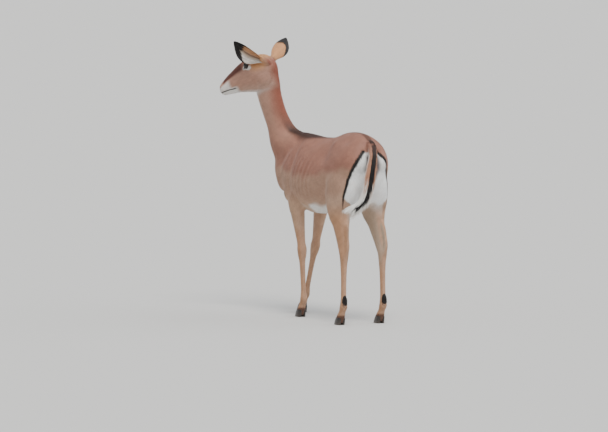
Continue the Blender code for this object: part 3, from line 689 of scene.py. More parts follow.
def head_forms():
    side, rise = HEAD_MATRIX[:, 1], HEAD_MATRIX[:, 2]
    corners, steps = RINGS["head"]
    rings = []
    for x, top, low, half, widest, narrow in smooth_rows(HEAD, steps):
        up, down = (top - widest) * CM, (widest - low) * CM
        middle = on_head((x, 0, widest))
        rings.append(oval(middle, side, rise, half * CM, up, down, corners, 0.12, narrow))
    made = [loft("head_form", rings), neck_form(90.0)]
    for mirrored in (False, True):
        made.append(ball("lids", on_head(EYE_AT, mirrored), (EYE_RADIUS + LID_THICKNESS,) * 3))
        for name, (at, radii) in HEAD_SWELLINGS.items():
            made.append(ball(name, on_head(at, mirrored), radii, HEAD_MATRIX))
        points, _, _, root = ear_frame("right" if mirrored else "left")
        turn = np.array(Vector(points).to_track_quat("Z", "Y").to_matrix())
        made.append(ball("ear_root", root + points * EAR_ROOT_LIFT, EAR_ROOT_RADII, turn))
    return made


def fused(name, pieces, voxel, rounds):
    """One smooth skin over overlapping closed bodies."""
    mesh = bpy.data.meshes.new(name)
    with edited(mesh) as bm:
        for piece in pieces:
            bm.from_mesh(piece.data)
            bpy.data.objects.remove(piece)
    made = linked(name, mesh)
    remesh = made.modifiers.new("fuse", "REMESH")
    remesh.mode = "VOXEL"
    remesh.voxel_size = voxel
    soften = made.modifiers.new("soften", "SMOOTH")
    soften.factor = 0.5
    soften.iterations = rounds
    bpy.context.view_layer.update()
    graph = bpy.context.evaluated_depsgraph_get()
    result = bpy.data.meshes.new_from_object(made.evaluated_get(graph))
    bpy.data.objects.remove(made)
    return result


def trimmed(mesh, above, gap):
    """The mesh's main piece on one side of the plane between the head and the neck."""
    with edited(mesh, mesh) as bm:
        bmesh.ops.bisect_plane(
            bm,
            geom=[*bm.verts, *bm.edges, *bm.faces],
            plane_co=Vector(HEAD_PARTING) + PARTING_NORMAL * (gap if above else -gap),
            plane_no=PARTING_NORMAL,
            clear_inner=above,
            clear_outer=not above,
        )
    return mesh


def stitched(body, head):
    """One skin from the two, with a narrow band of faces between their open ends."""
    mesh = bpy.data.meshes.new("skin")
    with edited(mesh, body, head) as bm:
        bmesh.ops.bridge_loops(bm, edges=[e for e in bm.edges if e.is_boundary])
        bmesh.ops.triangulate(bm, faces=[f for f in bm.faces if len(f.verts) > 4])
        middle = Vector(HEAD_PARTING)
        band = [v for v in bm.verts if abs((v.co - middle).dot(PARTING_NORMAL)) < PARTING_BAND]
        for _ in range(PARTING_ROUNDS):
            bmesh.ops.smooth_vert(
                bm, verts=band, factor=0.5, use_axis_x=True, use_axis_y=True, use_axis_z=True
            )
        bmesh.ops.recalc_face_normals(bm, faces=bm.faces)
    return mesh


def refined(mesh, chosen):
    """The mesh with the faces whose corners are all chosen cut finer."""
    with edited(mesh, mesh) as bm:
        bm.verts.ensure_lookup_table()
        edges = [e for e in bm.edges if chosen[e.verts[0].index] and chosen[e.verts[1].index]]
        bmesh.ops.subdivide_edges(bm, edges=edges, cuts=1, use_grid_fill=True, smooth=0.6)
        bmesh.ops.triangulate(bm, faces=[f for f in bm.faces if len(f.verts) > 4])
    return mesh


def points_of(mesh):
    found = np.zeros(len(mesh.vertices) * 3)
    mesh.vertices.foreach_get("co", found)
    return found.reshape(-1, 3)


def normals_of(mesh):
    found = np.zeros(len(mesh.vertices) * 3)
    mesh.vertex_normals.foreach_get("vector", found)
    return found.reshape(-1, 3)


def set_points(mesh, points):
    mesh.vertices.foreach_set("co", np.ascontiguousarray(points, float).ravel())
    mesh.update()


# Which part of the body a point belongs to.


def head_side(points):
    """Height over the plane between head and neck, in metres."""
    away = points - HEAD_PARTING
    return away[:, 2] - HEAD_PARTING_SLOPE[0] * away[:, 0] - HEAD_PARTING_SLOPE[1] * away[:, 1]


def leg_weights(points):
    """For each leg, how far each point belongs to it, from 0 to 1."""
    found = {}
    for name, joints in LEGS.items():
        path = np.array(joints[1:]) * CM
        away, _ = near_path(points, path)
        reach = np.interp(points[:, 2], (0.0, 0.30, 0.42, 0.50), (0.050, 0.050, 0.085, 0.125))
        low = ramp(0.57, 0.46, points[:, 2])
        found[name] = low * ramp(1.0, 0.70, away / reach)
    return found


def tail_weight(points):
    away, share = near_path(points, TAIL_PATH[1:])
    thick = np.interp(share, (0.0, 0.2, 1.0), (0.023, 0.020, 0.009))
    return ramp(1.15, 0.95, away / thick) * ramp(-0.385, -0.400, points[:, 0]), share


# Carving the finer forms into the skin.


def udder_share(points):
    away = (points - np.array(UDDER_AT)) / (np.array(UDDER_RADII) + 0.003)
    return ramp(1.15, 0.95, np.linalg.norm(away, axis=1)) * ramp(0.485, 0.470, points[:, 2])


def coat_depth(points):
    """How far the skin lies under the tips of the coat."""
    depth = np.full(len(points), 0.0028)
    legs = sum(leg_weights(points).values())
    depth = depth + (0.0010 - depth) * np.clip(legs, 0, 1) * ramp(0.50, 0.34, points[:, 2])
    x = to_head(points)[:, 0]
    on_face = ramp(0.0, 0.02, head_side(points))
    face = np.interp(x, (0.0, 8.0, 20.0, 28.0), (0.0022, 0.0014, 0.0009, 0.0005))
    depth = depth + (face - depth) * on_face
    tail, _ = tail_weight(points)
    depth = depth + (0.0005 - depth) * tail
    return depth * (1.0 - udder_share(points))


def hollow(points, at, radii, depth):
    """A soft dent (or with a negative depth, a swelling) on both sides of the body."""
    x, y, z = (points / CM).T
    away = ((x - at[0]) / radii[0]) ** 2 + ((np.abs(y) - at[1]) / radii[1]) ** 2
    away += ((z - at[2]) / radii[2]) ** 2
    return -depth * CM * np.exp(-away)


def groove(points, path, width, depth):
    """A soft furrow along a path, on both sides of the body."""
    folded = points.copy()
    folded[:, 1] = np.abs(folded[:, 1])
    away, share = near_path(folded / CM, path)
    fade = between(share, 0.0, 0.15, 0.85, 1.0)
    return -depth * CM * np.exp(-((away / width) ** 2)) * fade


def carve_body(points, normals):
    """Muscle and bone: how far each point moves outward."""
    x, y, z = (points / CM).T
    out = np.zeros(len(points))
    for at, radii, depth in DENTS:
        out += hollow(points, at, radii, depth)
    for path, width, depth in FURROWS:
        out += groove(points, path, width, depth)
    ribs = np.sin((x + 0.28 * (z - 60.0)) * math.tau / 3.1 + 0.8 * ripple(points, 0.16, "ribs"))
    cage = between(x, -9, -3, 9, 14) * between(z, 50, 55, 68, 74)
    out += 0.0006 * ribs * cage * np.abs(normals[:, 1])
    out += 0.0012 * ripple(points, 0.11, "hide") * (z > 46)
    for name, joints in LEGS.items():
        near, share = near_path(points / CM, joints[2:4])
        front = normals[:, 0] * ramp(5.0, 3.5, near)
        cord = between(share, 0.1, 0.25, 0.8, 0.95)
        out -= 0.0016 * bell(front, -0.45, 0.25) * (near < 3.5) * cord
    return out


def towards_throat(points, normals):
    """Distance from the neck's middle line, and how far the skin faces the throat."""
    away, share = near_path(points, NECK_PATH)
    turn = np.radians(np.interp(share, NECK_PLACES, np.array(NECK)[:, 5]))
    return away, np.cos(turn) * normals[:, 0] + np.sin(turn) * normals[:, 1]


def carve_neck(points, normals):
    """The furrows on both sides of the windpipe."""
    away, fore = towards_throat(points, normals)
    on_neck = ramp(0.74, 0.82, points[:, 2]) * ramp(0.02, -0.01, head_side(points))
    return -0.0022 * bell(fore, 0.62, 0.16) * on_neck * (away < 0.09)


def eye_opening(points, mirrored):
    """Places measured from the eye: 1 on the lids' edge and less inside, and by direction."""
    centre, look, length, height = eye_frame(mirrored)
    away = points - centre
    reach = np.linalg.norm(away, axis=1)
    a = away @ length / EYE_HALF_LENGTH
    b = away @ height / EYE_HALF_HEIGHT
    u = np.sqrt(a**2 + (b / np.maximum(1 - 0.45 * a**2, 0.55)) ** 2)
    facing = (away @ look > 0.0) & (reach < 0.045)
    return np.where(facing, u, 9.0), a, b, reach


def carve_eyes(points):
    """Opens the lids over the eyeballs and folds the skin round them."""
    moved = points.copy()
    for mirrored in (False, True):
        centre = eye_frame(mirrored)[0]
        u, a, b, reach = eye_opening(points, mirrored)
        outer = np.maximum(reach, EYE_RADIUS + 0.0016)
        inner = EYE_RADIUS - 0.0016
        lid = inner + (outer - inner) * ramp(0.94, 1.10, u)
        swell = 0.0011 * bell(u, 1.22, 0.13)
        crease = -0.0016 * bell(u, 1.62, 0.12) * ramp(-0.2, 0.5, b)
        under = -0.0009 * bell(u, 1.50, 0.12) * ramp(0.1, -0.5, b)
        target = lid + (swell + crease + under) * (u < 3)
        near = u < 3
        shell = centre + unit(points - centre) * target[:, None]
        moved[near] = shell[near]
    return moved


def mouth_line(head_points):
    """Height over the mouth's line, and how far the mouth reaches there, in centimetres."""
    x, y, z = head_points.T
    turn = np.arctan2(y, x - MOUTH_TURN_AT)
    line = MOUTH_HEIGHT + 0.25 * np.cos(turn * 1.3)
    return z - line, ramp(MOUTH_CORNER - 0.6, MOUTH_CORNER + 0.4, x)


def nostril_place(head_points):
    """1 at the edge of the comma-shaped nostril and less inside."""
    x, y, z = head_points.T
    a = ((x - NOSTRIL_AT[0]) * 0.45 + (z - NOSTRIL_AT[2]) * 0.9) / 0.62
    b = (np.abs(y) - NOSTRIL_AT[1] + 0.16 * a**2) / 0.27
    ahead = x > NOSTRIL_AT[0] - 1.6
    return np.where(ahead, np.sqrt(a**2 + b**2), 9.0)


def carve_face(points, normals):
    """Mouth, lips, nostrils and the bones of the face."""
    head_points = to_head(points)
    x, y, z = head_points.T
    on_head_side = ramp(0.0, 0.02, head_side(points))
    over, mouth = mouth_line(head_points)
    out = -0.0024 * bell(over, 0, 0.13) * mouth
    out += 0.0009 * bell(over, 0.42, 0.25) * mouth
    out += 0.0007 * bell(over, -0.38, 0.22) * mouth
    out -= 0.0012 * ramp(-0.1, -0.5, over) * ramp(17.0, 20.0, x)
    nostril = nostril_place(head_points)
    out += 0.0006 * bell(nostril, 1.6, 0.6)
    philtrum = bell(y, 0, 0.13) * ramp(26.4, 27.2, x) * ramp(-1.0, -1.6, z)
    out -= 0.0013 * philtrum
    cheek_line = bell((z + 2.4) - 0.16 * (x - 12), 0, 0.7)
    out -= 0.0013 * cheek_line * between(x, 11.5, 14, 18, 21)
    out -= 0.0010 * bell(x, 15.5, 2.2) * bell(z, 2.3, 0.9) * (np.abs(y) > 1.2)
    jaw_edge = bell(x, 9.4, 1.1) * between(z, -9.5, -7, -4.0, -1.5)
    out -= 0.0016 * jaw_edge
    temple = bell(x, 6.2, 1.6) * bell(z, 2.6, 1.3)
    out -= 0.0018 * temple * (np.abs(y) > 2.0)
    bridge = bell(y, 0, 0.9) * between(x, 12, 15, 23, 26) * (z > 0)
    out -= 0.0006 * bridge
    moved = points + normals * (out * on_head_side)[:, None]
    pit = 0.0085 * ramp(1.05, 0.35, nostril) * (on_head_side > 0)
    side = np.where(y > 0, -1.0, 1.0)[:, None]
    inward = unit(np.stack([np.full(len(x), -0.80), 0 * x, np.full(len(x), -0.25)], axis=1))
    inward = inward @ HEAD_MATRIX.T + side * 0.35 * HEAD_MATRIX[:, 1]
    return moved + unit(inward) * pit[:, None]


def softened(mesh, share, rounds, back=BACK_STEP):
    """Smooths the places where share is above zero. A negative back keeps their general size."""
    points = points_of(mesh)
    count = len(points)
    pairs = np.zeros(len(mesh.edges) * 2, np.int32)
    mesh.edges.foreach_get("vertices", pairs)
    first, second = pairs.reshape(-1, 2).T
    degree = np.bincount(first, minlength=count) + np.bincount(second, minlength=count)
    degree = np.maximum(degree, 1)[:, None]
    for i in range(rounds):
        total = np.stack(
            [
                np.bincount(first, points[second, k], count) + np.bincount(second, points[first, k], count)
                for k in range(3)
            ],
            axis=1,
        )
        step = FIRST_STEP if i % 2 == 0 else back
        points = points + (total / degree - points) * step * share[:, None]
    set_points(mesh, points)
    return mesh


def join_share(points):
    """Where limbs, neck and rump run into the trunk."""
    x, _, z = (points / CM).T
    trunk = ramp(44.0, 50.0, z) * ramp(-0.003, -0.03, head_side(points))
    tail, _ = tail_weight(points)
    return trunk * (1 - tail) * (x > -39.5) * (1 - udder_share(points))


def chest_share(points):
    """Where the front of the chest runs up into the neck."""
    x, _, z = (points / CM).T
    return ramp(24.0, 31.0, x) * between(z, 53.0, 59.0, 79.0, 86.0)


def skin_mesh():
    body = fused("body", body_forms(), BODY_VOXEL, BODY_SOFTENING)
    softened(body, chest_share(points_of(body)), CHEST_ROUNDS, FLAT_STEP)
    softened(body, join_share(points_of(body)), JOIN_ROUNDS)
    trimmed(body, False, PARTING_GAP)
    head = trimmed(fused("head", head_forms(), HEAD_VOXEL, HEAD_SOFTENING), True, PARTING_GAP)
    mesh = stitched(body, head)
    points, normals = points_of(mesh), normals_of(mesh)
    points = points - normals * coat_depth(points)[:, None]
    set_points(mesh, points)
    head_points = to_head(points)
    fine = (head_points[:, 0] > 19.5) & (head_side(points) > 0)
    for mirrored in (False, True):
        fine |= eye_opening(points, mirrored)[0] < 1.9
    refined(mesh, fine)
    points, normals = points_of(mesh), normals_of(mesh)
    off_head = ramp(0.03, 0.0, head_side(points))
    out = (carve_body(points, normals) + carve_neck(points, normals)) * off_head
    points = points + normals * out[:, None]
    points = carve_face(points, normals)
    points = carve_eyes(points)
    set_points(mesh, points)
    return mesh


# Colours, as seen in daylight, from 0 to 255.


def colour(red, green, blue):
    share = np.array((red, green, blue)) / 255.0
    return np.where(share <= 0.04045, share / 12.92, ((share + 0.055) / 1.055) ** 2.4)


SADDLE = colour(166, 116, 98)
SPINE = colour(66, 39, 30)
FLANK = colour(184, 145, 122)
LOW_FLANK = colour(196, 160, 136)
WHITE = colour(240, 236, 230)
SEAT = colour(254, 252, 249)
# White darkened as painted shade, laid on the inner sides of the hind legs.
WHITE_IN_PAINTED_SHADE = colour(194, 170, 148)
LEG = colour(190, 142, 106)
SHIN = colour(188, 142, 108)
UPPER_FORELEG = colour(196, 164, 138)
CORONET = colour(96, 66, 52)
BLACK = colour(26, 21, 20)
NAPE = colour(150, 88, 70)
NECK_SIDE = colour(184, 142, 122)
THROAT = colour(194, 160, 142)
NECK_BASE = colour(168, 118, 98)
CHEST = colour(172, 130, 110)
CHEEK = colour(188, 144, 124)
# The crown's own tan, lightened as painted sunlight.
CROWN_WITH_PAINTED_SUN = colour(204, 150, 104)
NOSE_BRIDGE = colour(98, 56, 46)
BARE = colour(150, 118, 110)
TAIL_TAN = colour(192, 140, 112)
# Dark grey under the tail: partly bare skin, partly painted shade of the tail.
UNDER_TAIL_SKIN_AND_SHADE = colour(92, 80, 82)
# The ears' own tan backs, lightened as painted sunlight.
EAR_BACK_WITH_PAINTED_SUN = colour(208, 150, 102)
# Painted shade in the crease of the ear's hollow.
EAR_FOLD_PAINTED_SHADE = colour(104, 72, 58)
EAR_BLACK_EDGE = {"left": 0.20, "right": 0.34}
EAR_HOLLOW = colour(200, 176, 150)

# Centre line of the black stripe beside the rump, on the left, and the level direction along
# which its distance from the tail is measured.
RIGHT_STRIPE_INWARD = 1.5
RUMP_ASIDE = np.array((0.5, 0.866, 0.0))
RUMP_STRIPE = (
    (-38.4, 4.6, 75.4),
    (-38.2, 6.2, 73.2),
    (-37.4, 7.8, 70.4),
    (-35.6, 8.9, 67.0),
    (-34.6, 9.8, 63.6),
    (-33.8, 10.4, 60.0),
    (-32.6, 11.0, 56.0),
    (-31.8, 11.0, 51.5),
    (-32.2, 10.4, 46.0),
)


def blend(base, other, share):
    return base + (other - base) * np.asarray(share)[:, None]


def layered(base, *layers):
    """The base colour under each further colour in turn, laid on by its share."""
    for tint, share in layers:
        base = blend(base, tint, share)
    return base


def torso_colour(points, normals):
    x, y, z = (points / CM).T
    rows = np.array(TORSO)
    back = np.interp(x, rows[:, 0], rows[:, 1])
    belly = np.interp(x, rows[:, 0], rows[:, 2])
    height = (z - belly) / (back - belly) + 0.03 * ripple(points, 0.09, "flank")
    under = ramp(0.15, 0.08, height) * ramp(0.40, -0.05, normals[:, 2]) * ramp(22, 16, x)
    outward = np.sign(y) * normals[:, 1]
    fore_limb = ramp(7.5, 10.5, x) * ramp(4.0, 6.0, np.abs(y))
    hind_limb = ramp(-17.0, -20.0, x) * ramp(4.0, 6.0, np.abs(y)) * ramp(-0.1, 0.3, outward)
    return layered(
        SADDLE,
        (FLANK, ramp(0.56, 0.44, height)),
        (LOW_FLANK, ramp(0.26, 0.10, height) * ramp(34, 18, x)),
        (WHITE, under * (1 - np.maximum(fore_limb, hind_limb))),
    )


def neck_colour(points, normals):
    _, fore = towards_throat(points, normals)
    return layered(
        NAPE,
        (NECK_SIDE, ramp(-0.95, -0.10, fore)),
        (THROAT, 0.8 * ramp(0.35, 0.9, fore)),
        (NECK_BASE, 0.7 * ramp(0.90, 0.76, points[:, 2])),
    )


def rump_colour(made, points, normals):
    """The white seat between two black stripes, and a dark grey patch under the tail that is partly bare
    skin and partly painted shade, laid on from behind and the side.
    """
    z = points[:, 2] / CM
    side = np.where(points[:, 1] >= 0, 1.0, -1.0)
    aside = (points[:, 0] * RUMP_ASIDE[0] + side * points[:, 1] * RUMP_ASIDE[1]) / CM
    facing = normals[:, 0] * -RUMP_ASIDE[1] + side * normals[:, 1] * RUMP_ASIDE[0]
    aside = aside + RIGHT_STRIPE_INWARD * (side < 0)
    path = np.array(RUMP_STRIPE) @ np.array((RUMP_ASIDE, (0, 0, 0), UP)).T
    stripe, share = near_path(np.stack([aside, 0 * z, z], axis=1), path)
    edge = np.interp(z, path[::-1, 2], path[::-1, 0])
    edge = edge - 4.2 * ramp(56.0, 51.5, z)
    behind = ramp(-0.05, 0.25, facing) * ramp(-26.0, -29.0, points[:, 0] / CM)
    seat = ramp(0.4, -0.4, aside - edge) * behind * between(z, 38.0, 50.0, 74.4, 75.6)
    # The patch under the tail: partly bare skin, partly painted shade of the tail.
    half = np.interp(z, (60.5, 63.5, 67.5, 73.0), (0.6, 2.4, 3.9, 3.3))
    under_tail_skin_and_shade = ramp(1.20, 0.70, np.abs(points[:, 1] / CM) / half) * ramp(60.0, 66.0, z)
    under_tail_skin_and_shade = under_tail_skin_and_shade * ramp(74.6, 73.0, z) * behind
    half = np.interp(share, (0.0, 0.3, 0.7, 1.0), (0.70, 0.80, 0.50, 0.20))
    mark = ramp(1.25, 0.80, stripe / half) * ramp(1.0, 0.75, share) * behind
    return layered(made, (SEAT, seat), (UNDER_TAIL_SKIN_AND_SHADE, 0.9 * under_tail_skin_and_shade), (BLACK, mark))


def leg_colour(made, points, normals):
    z = points[:, 2] / CM
    for name, weight in leg_weights(points).items():
        hind = name.startswith("hind")
        outward = 1.0 if name.endswith("left") else -1.0
        pale = ramp(0.60, 0.92, -outward * normals[:, 1]) * weight
        made = blend(made, LEG, weight * 0.9 * ramp(60, 44, z))
        if not hind:
            made = blend(made, UPPER_FORELEG, 0.6 * weight * between(z, 34, 42, 48, 56))
        # The hind legs' pale inner sides take white darkened as painted shade.
        made = layered(
            made,
            (SHIN, weight * ramp(34, 24, z)),
            (WHITE_IN_PAINTED_SHADE, pale * ramp(20, 34, z)) if hind else (LOW_FLANK, pale * 0.7 * ramp(14, 30, z)),
            (LOW_FLANK, 0.45 * weight * ramp(-0.3, -0.9, normals[:, 0])),
        )
        if hind:
            gland = 1 - ((z - 10.9) / 2.5) ** 2 - (normals[:, 1] / 0.80) ** 2
            made = blend(made, BLACK, ramp(0.0, 0.30, gland) * (normals[:, 0] < 0) * weight)
        made = blend(made, CORONET, weight * ramp(5.0, 3.8, z))
    return made


def tail_black(share):
    """The tail's dark band, red-brown at its root and black below."""
    return blend(SPINE, BLACK, ramp(-0.02, 0.26, share))


def tail_colour(made, points, normals):
    weight, share = tail_weight(points)
    side = unit(np.cross(path_direction(TAIL_PATH[1:], share), -FORWARD))
    across = np.abs(np.sum(normals * side, axis=1))
    tan = layered(
        SADDLE,
        (TAIL_TAN, ramp(0.0, 0.25, share)),
        (WHITE, ramp(0.35, 0.6, share)),
        (WHITE, ramp(0.1, 0.5, normals[:, 0])),
    )
    band = ramp(0.70, 0.50, across) * ramp(0.1, -0.2, normals[:, 0]) * ramp(-0.01, 0.05, share)
    return blend(made, blend(tan, tail_black(share), band), weight)


def head_shape(head_points):
    """The height over the head's lower line as a share of the head's height."""
    rows = np.array(HEAD)
    top = np.interp(head_points[:, 0], rows[:, 0], rows[:, 1])
    low = np.interp(head_points[:, 0], rows[:, 0], rows[:, 2])
    return (head_points[:, 2] - low) / (top - low)


def eye_surround(made, points, mirrored):
    """Pale hair round the eye, dark lids and a dark inner corner."""
    u, a, b, _ = eye_opening(points, mirrored)
    front = ramp(0.0, 0.7, a) + ramp(0.0, -0.7, b) * ramp(-1.2, -0.5, a)
    reach = u + 0.10 * ripple(points, 0.006, "lids")
    ring = ramp(1.05, 1.2, u) * ramp(1.95, 1.60, reach) * np.clip(front, 0, 1)
    over = ramp(1.2, 1.4, u) * ramp(1.9, 1.6, reach) * ramp(0.2, 0.8, b)
    corner = bell(a, 1.30, 0.30) * bell(b, -0.15, 0.22) * (u < 3)
    return layered(
        made,
        (WHITE, 0.92 * ring),
        (WHITE, 0.55 * over),
        (BLACK, ramp(1.27, 1.14, u)),
        (BLACK, np.clip(corner * 1.4, 0, 1)),
    )


def head_colour(points, normals):
    head_points = to_head(points)
    x, _, z = head_points.T
    height = head_shape(head_points)
    made = layered(
        CHEEK,
        (THROAT, 0.7 * ramp(0.35, 0.10, height) * ramp(22, 16, x)),
        # The crown's tan, lightened as painted sunlight.
        (CROWN_WITH_PAINTED_SUN, ramp(0.50, 0.72, height) * ramp(11.0, 7.5, x)),
        (SADDLE, ramp(0.74, 0.86, height) * between(x, 7.0, 10.0, 14.0, 17.0)),
        (NOSE_BRIDGE, ramp(0.66, 0.80, height) * between(x, 11.5, 15.0, 24.5, 26.5)),
        (WHITE, 0.85 * ramp(21.3, 23.6, x) * ramp(0.78, 0.60, height)),
        (WHITE, ramp(0.36, 0.24, height) * ramp(18.5, 21.0, x)),
        (WHITE, 0.6 * ramp(0.12, 0.02, height) * ramp(3.0, 6.0, x)),
        (neck_colour(points, normals), ramp(4.5, 0.0, x) * ramp(4.2, 1.5, z)),
    )
    for mirrored in (False, True):
        made = eye_surround(made, points, mirrored)
    over, mouth = mouth_line(head_points)
    lips = np.clip(1.25 * (bell(over, 0, 0.24) * mouth), 0, 1)
    return layered(made, (BLACK, lips), (BLACK, nose_pad(head_points)))


def nose_pad(head_points):
    """1 on the bare nose, which narrows between the nostrils to a line down the upper lip."""
    x, y, z = head_points.T
    half = np.interp(z, (-4.4, -3.5, -2.6, -1.2, -0.2, 0.3), (0.12, 0.35, 1.25, 1.75, 1.45, 0.6))
    pad = ramp(1.10, 0.92, np.abs(y) / half) * ramp(26.3, 26.8, x + 0.25 * z + 0.5) * ramp(0.4, 0.0, z)
    pad = pad * ramp(MOUTH_HEIGHT - 0.35, MOUTH_HEIGHT, z)
    return np.maximum(pad, ramp(1.7, 1.3, nostril_place(head_points)))


def bare_share(points):
    """1 where the skin has no coat: nose, lips' edges, lids, udder."""
    head_points = to_head(points)
    over, mouth = mouth_line(head_points)
    bare = bell(over, 0, 0.16) * mouth
    bare = np.maximum(bare, nose_pad(head_points)) * (head_side(points) > 0)
    for mirrored in (False, True):
        bare = np.maximum(bare, ramp(1.22, 1.12, eye_opening(points, mirrored)[0]))
    return np.maximum(bare, udder_share(points))


def back_line(points, normals):
    """The dark line along the spine, broad over the withers and fading up the nape."""
    x, y, z = (points / CM).T
    nape = np.interp(z, (77.0, 84.0, 94.0), (0.0, 3.0, 7.0)) * ramp(20.0, 26.0, x)
    half = np.interp(x, (-39.0, -34.0, -20.0, 0.0, 12.0, 24.0, 32.0), (1.5, 1.2, 1.2, 1.8, 4.0, 3.2, 2.0))
    share = np.interp(x, (-37.0, -20.0, -5.0, 6.0, 26.0, 31.0), (0.75, 0.42, 0.44, 1.0, 1.0, 0.45))
    share = share * between(z, 72.0, 76.0, 80.0, 92.0) * ramp(0.5, 0.1, normals[:, 0])
    return share * ramp(1.5, 0.6, np.abs(y - nape) / half)


def markings(points, normals):
    """The colour of coat and skin at each point."""
    x, _, z = (points / CM).T
    chest = ramp(22.0, 34.0, x) * ramp(79.0, 69.0, z) * ramp(-0.5, 0.8, normals[:, 0])
    body = layered(
        torso_colour(points, normals),
        (neck_colour(points, normals), ramp(70.0, 79.0, z) * ramp(19.0, 26.0, x)),
        (CHEST, 0.75 * chest),
        (SPINE, back_line(points, normals)),
    )
    for laid_on in (leg_colour, rump_colour, tail_colour):
        body = laid_on(body, points, normals)
    made = layered(
        body,
        (BARE, udder_share(points)),
        (head_colour(points, normals), ramp(-0.004, 0.030, head_side(points))),
    )
    uneven = 1.0 + 0.045 * ripple(points, 0.035, "patches") + 0.035 * ripple(points, 0.012, "specks")
    return np.clip(made * uneven[:, None], 0.0, 1.0)


def lie(points, normals):
    """The way the hair points, along the skin."""
    x, _, z = (points / CM).T
    way = np.tile((-1.0, 0.0, -0.15), (len(points), 1))
    way[:, 2] -= 0.55 * np.abs(normals[:, 1])
    _, share = near_path(points, NECK_PATH)
    way = layered(
        way,
        (np.array((-0.35, 0.0, -1.0)), ramp(-16.0, -30.0, x) * ramp(80.0, 68.0, z)),
        (np.array((-0.25, 0.0, -1.0)), ramp(24.0, 33.0, x) * ramp(78.0, 70.0, z)),
        (-path_direction(NECK_PATH, share), ramp(72.0, 80.0, z) * ramp(20.0, 27.0, x)),
    )
    for name, weight in leg_weights(points).items():
        _, share = near_path(points / CM, LEGS[name][1:])
        way = blend(way, path_direction(LEGS[name][1:], share), weight)
    tail, share = tail_weight(points)
    way = blend(way, path_direction(TAIL_PATH[1:], share), tail)
    x, _, z = to_head(points).T
    face = np.tile((-1.0, 0.0, -0.10), (len(points), 1))
    face[:, 2] -= 0.5 * ramp(0.0, -6.0, z)
    face[:, 2] -= 1.2 * ramp(4.5, 0.0, x)
    way = blend(way, face @ HEAD_MATRIX.T, ramp(-0.01, 0.03, head_side(points)))
    return unit(way - normals * np.sum(way * normals, axis=1)[:, None])


# Ears.


def ear_sheet(side, shares, turns):
    """Points of an ear's outer and inner faces, by share along it and place across it."""
    points, opens, across, root = ear_frame(side)
    sag, bow = EARS[side][2:]
    rows = smooth_rows(EAR, 8)
    reach = np.interp(shares, rows[:, 0], rows[:, 1]) * CM
    angle = np.interp(shares, rows[:, 0], rows[:, 2])
    radius = (reach / angle)[:, None]
    arch = np.sin(math.pi * np.clip(shares, 0, 1))
    bend = opens * (bow * arch + EAR_TUBE * (1 - shares))[:, None] + across * (sag * arch)[:, None]
    middle = root + points * (EAR_LENGTH * shares)[:, None] - bend
    turn = (angle * turns)[:, None]
    outward = np.sin(turn) * across - np.cos(turn) * opens
    sheet = middle + opens * radius + outward * radius
    edge = np.sqrt(np.clip(1 - turns**4, 0, 1))
    tip = np.sqrt(np.clip(1 - np.clip(shares, 0, 1) ** 8, 0.02, 1))
    half = EAR_THICKNESS / 2 * np.maximum(edge * tip, 0.12)
    ridge = 0.0006 * np.cos(turns * math.pi * 5.0) * arch**2
    outer = sheet + outward * half[:, None]
    inner = sheet - outward * (half + ridge)[:, None]
    return outer, inner, outward


def ear_data(side):
    """Points, faces, share along, place across and which face, of one ear."""
    turns = np.sin(np.linspace(-1, 1, EAR_COLUMNS) * math.pi / 2)
    rows, columns = len(EAR_SHARES), EAR_COLUMNS
    along, over = np.repeat(EAR_SHARES, columns), np.tile(turns, rows)
    points = np.concatenate(ear_sheet(side, along, over)[:2])
    root = np.clip(np.tile(along, 2) / EAR_START, 0, 1)[:, None]
    points = points + unit(on_head(EAR_SINKS_TO) - points) * root * EAR_SINKS_BY
    outer, inner = np.arange(2 * rows * columns).reshape(2, rows, columns)
    faces = []
    for at in (outer, inner):
        for i in range(rows - 1):
            for j in range(columns - 1):
                faces.append((at[i, j], at[i, j + 1], at[i + 1, j + 1], at[i + 1, j]))
    for i in range(rows - 1):
        for j in (0, columns - 1):
            faces.append((outer[i, j], outer[i + 1, j], inner[i + 1, j], inner[i, j]))
    for j in range(columns - 1):
        for i in (0, rows - 1):
            faces.append((outer[i, j], outer[i, j + 1], inner[i, j + 1], inner[i, j]))
    return points, faces, np.tile(along, 2), np.tile(over, 2), np.repeat((0.0, 1.0), rows * columns)


def ear_colour(side, share, turn, inside, points):
    """Tan backs lightened as painted sunlight, pale hollows with a dark crease of painted shade, and black
    tips that run down one edge.
    """
    # The back's tan, lightened as painted sunlight, turning to the crown's at the root.
    back = blend(EAR_BACK_WITH_PAINTED_SUN, CROWN_WITH_PAINTED_SUN, ramp(0.25, 0.0, share))
    # Painted shade along the crease of the ear's hollow.
    fold_shade = bell(turn, 0.12, 0.13) * ramp(0.85, 0.60, share)
    front = layered(
        EAR_HOLLOW,
        (WHITE, 0.8 * ramp(0.1, -0.5, turn)),
        (EAR_BACK_WITH_PAINTED_SUN, 0.85 * ramp(0.15, 0.35, turn)),
        (EAR_FOLD_PAINTED_SHADE, 0.85 * fold_shade),
    )
    reach = EAR_BLACK_EDGE[side] * ramp(-0.15, -1.0, turn)
    reach = share + reach + 0.05 * np.abs(turn) + 0.02 * ripple(points, 0.02, "ear_tip")
    rim = ramp(0.93, 0.98, np.abs(turn)) * ramp(0.35, 0.60, share)
    black = np.maximum(ramp(0.64, 0.72, reach), rim * 0.9)
    made = layered(back, (front, inside), (BLACK, black))
    uneven = 1.0 + 0.05 * ripple(points, 0.015, "ear")
    return np.clip(made * uneven[:, None], 0.0, 1.0)


# Materials.


def set_sockets(node, **values):
    """Sets the node's inputs, or joins them where the value is an output. _ stands for a space."""
    for name, value in values.items():
        feed(node.inputs[name.replace("_", " ")], value)


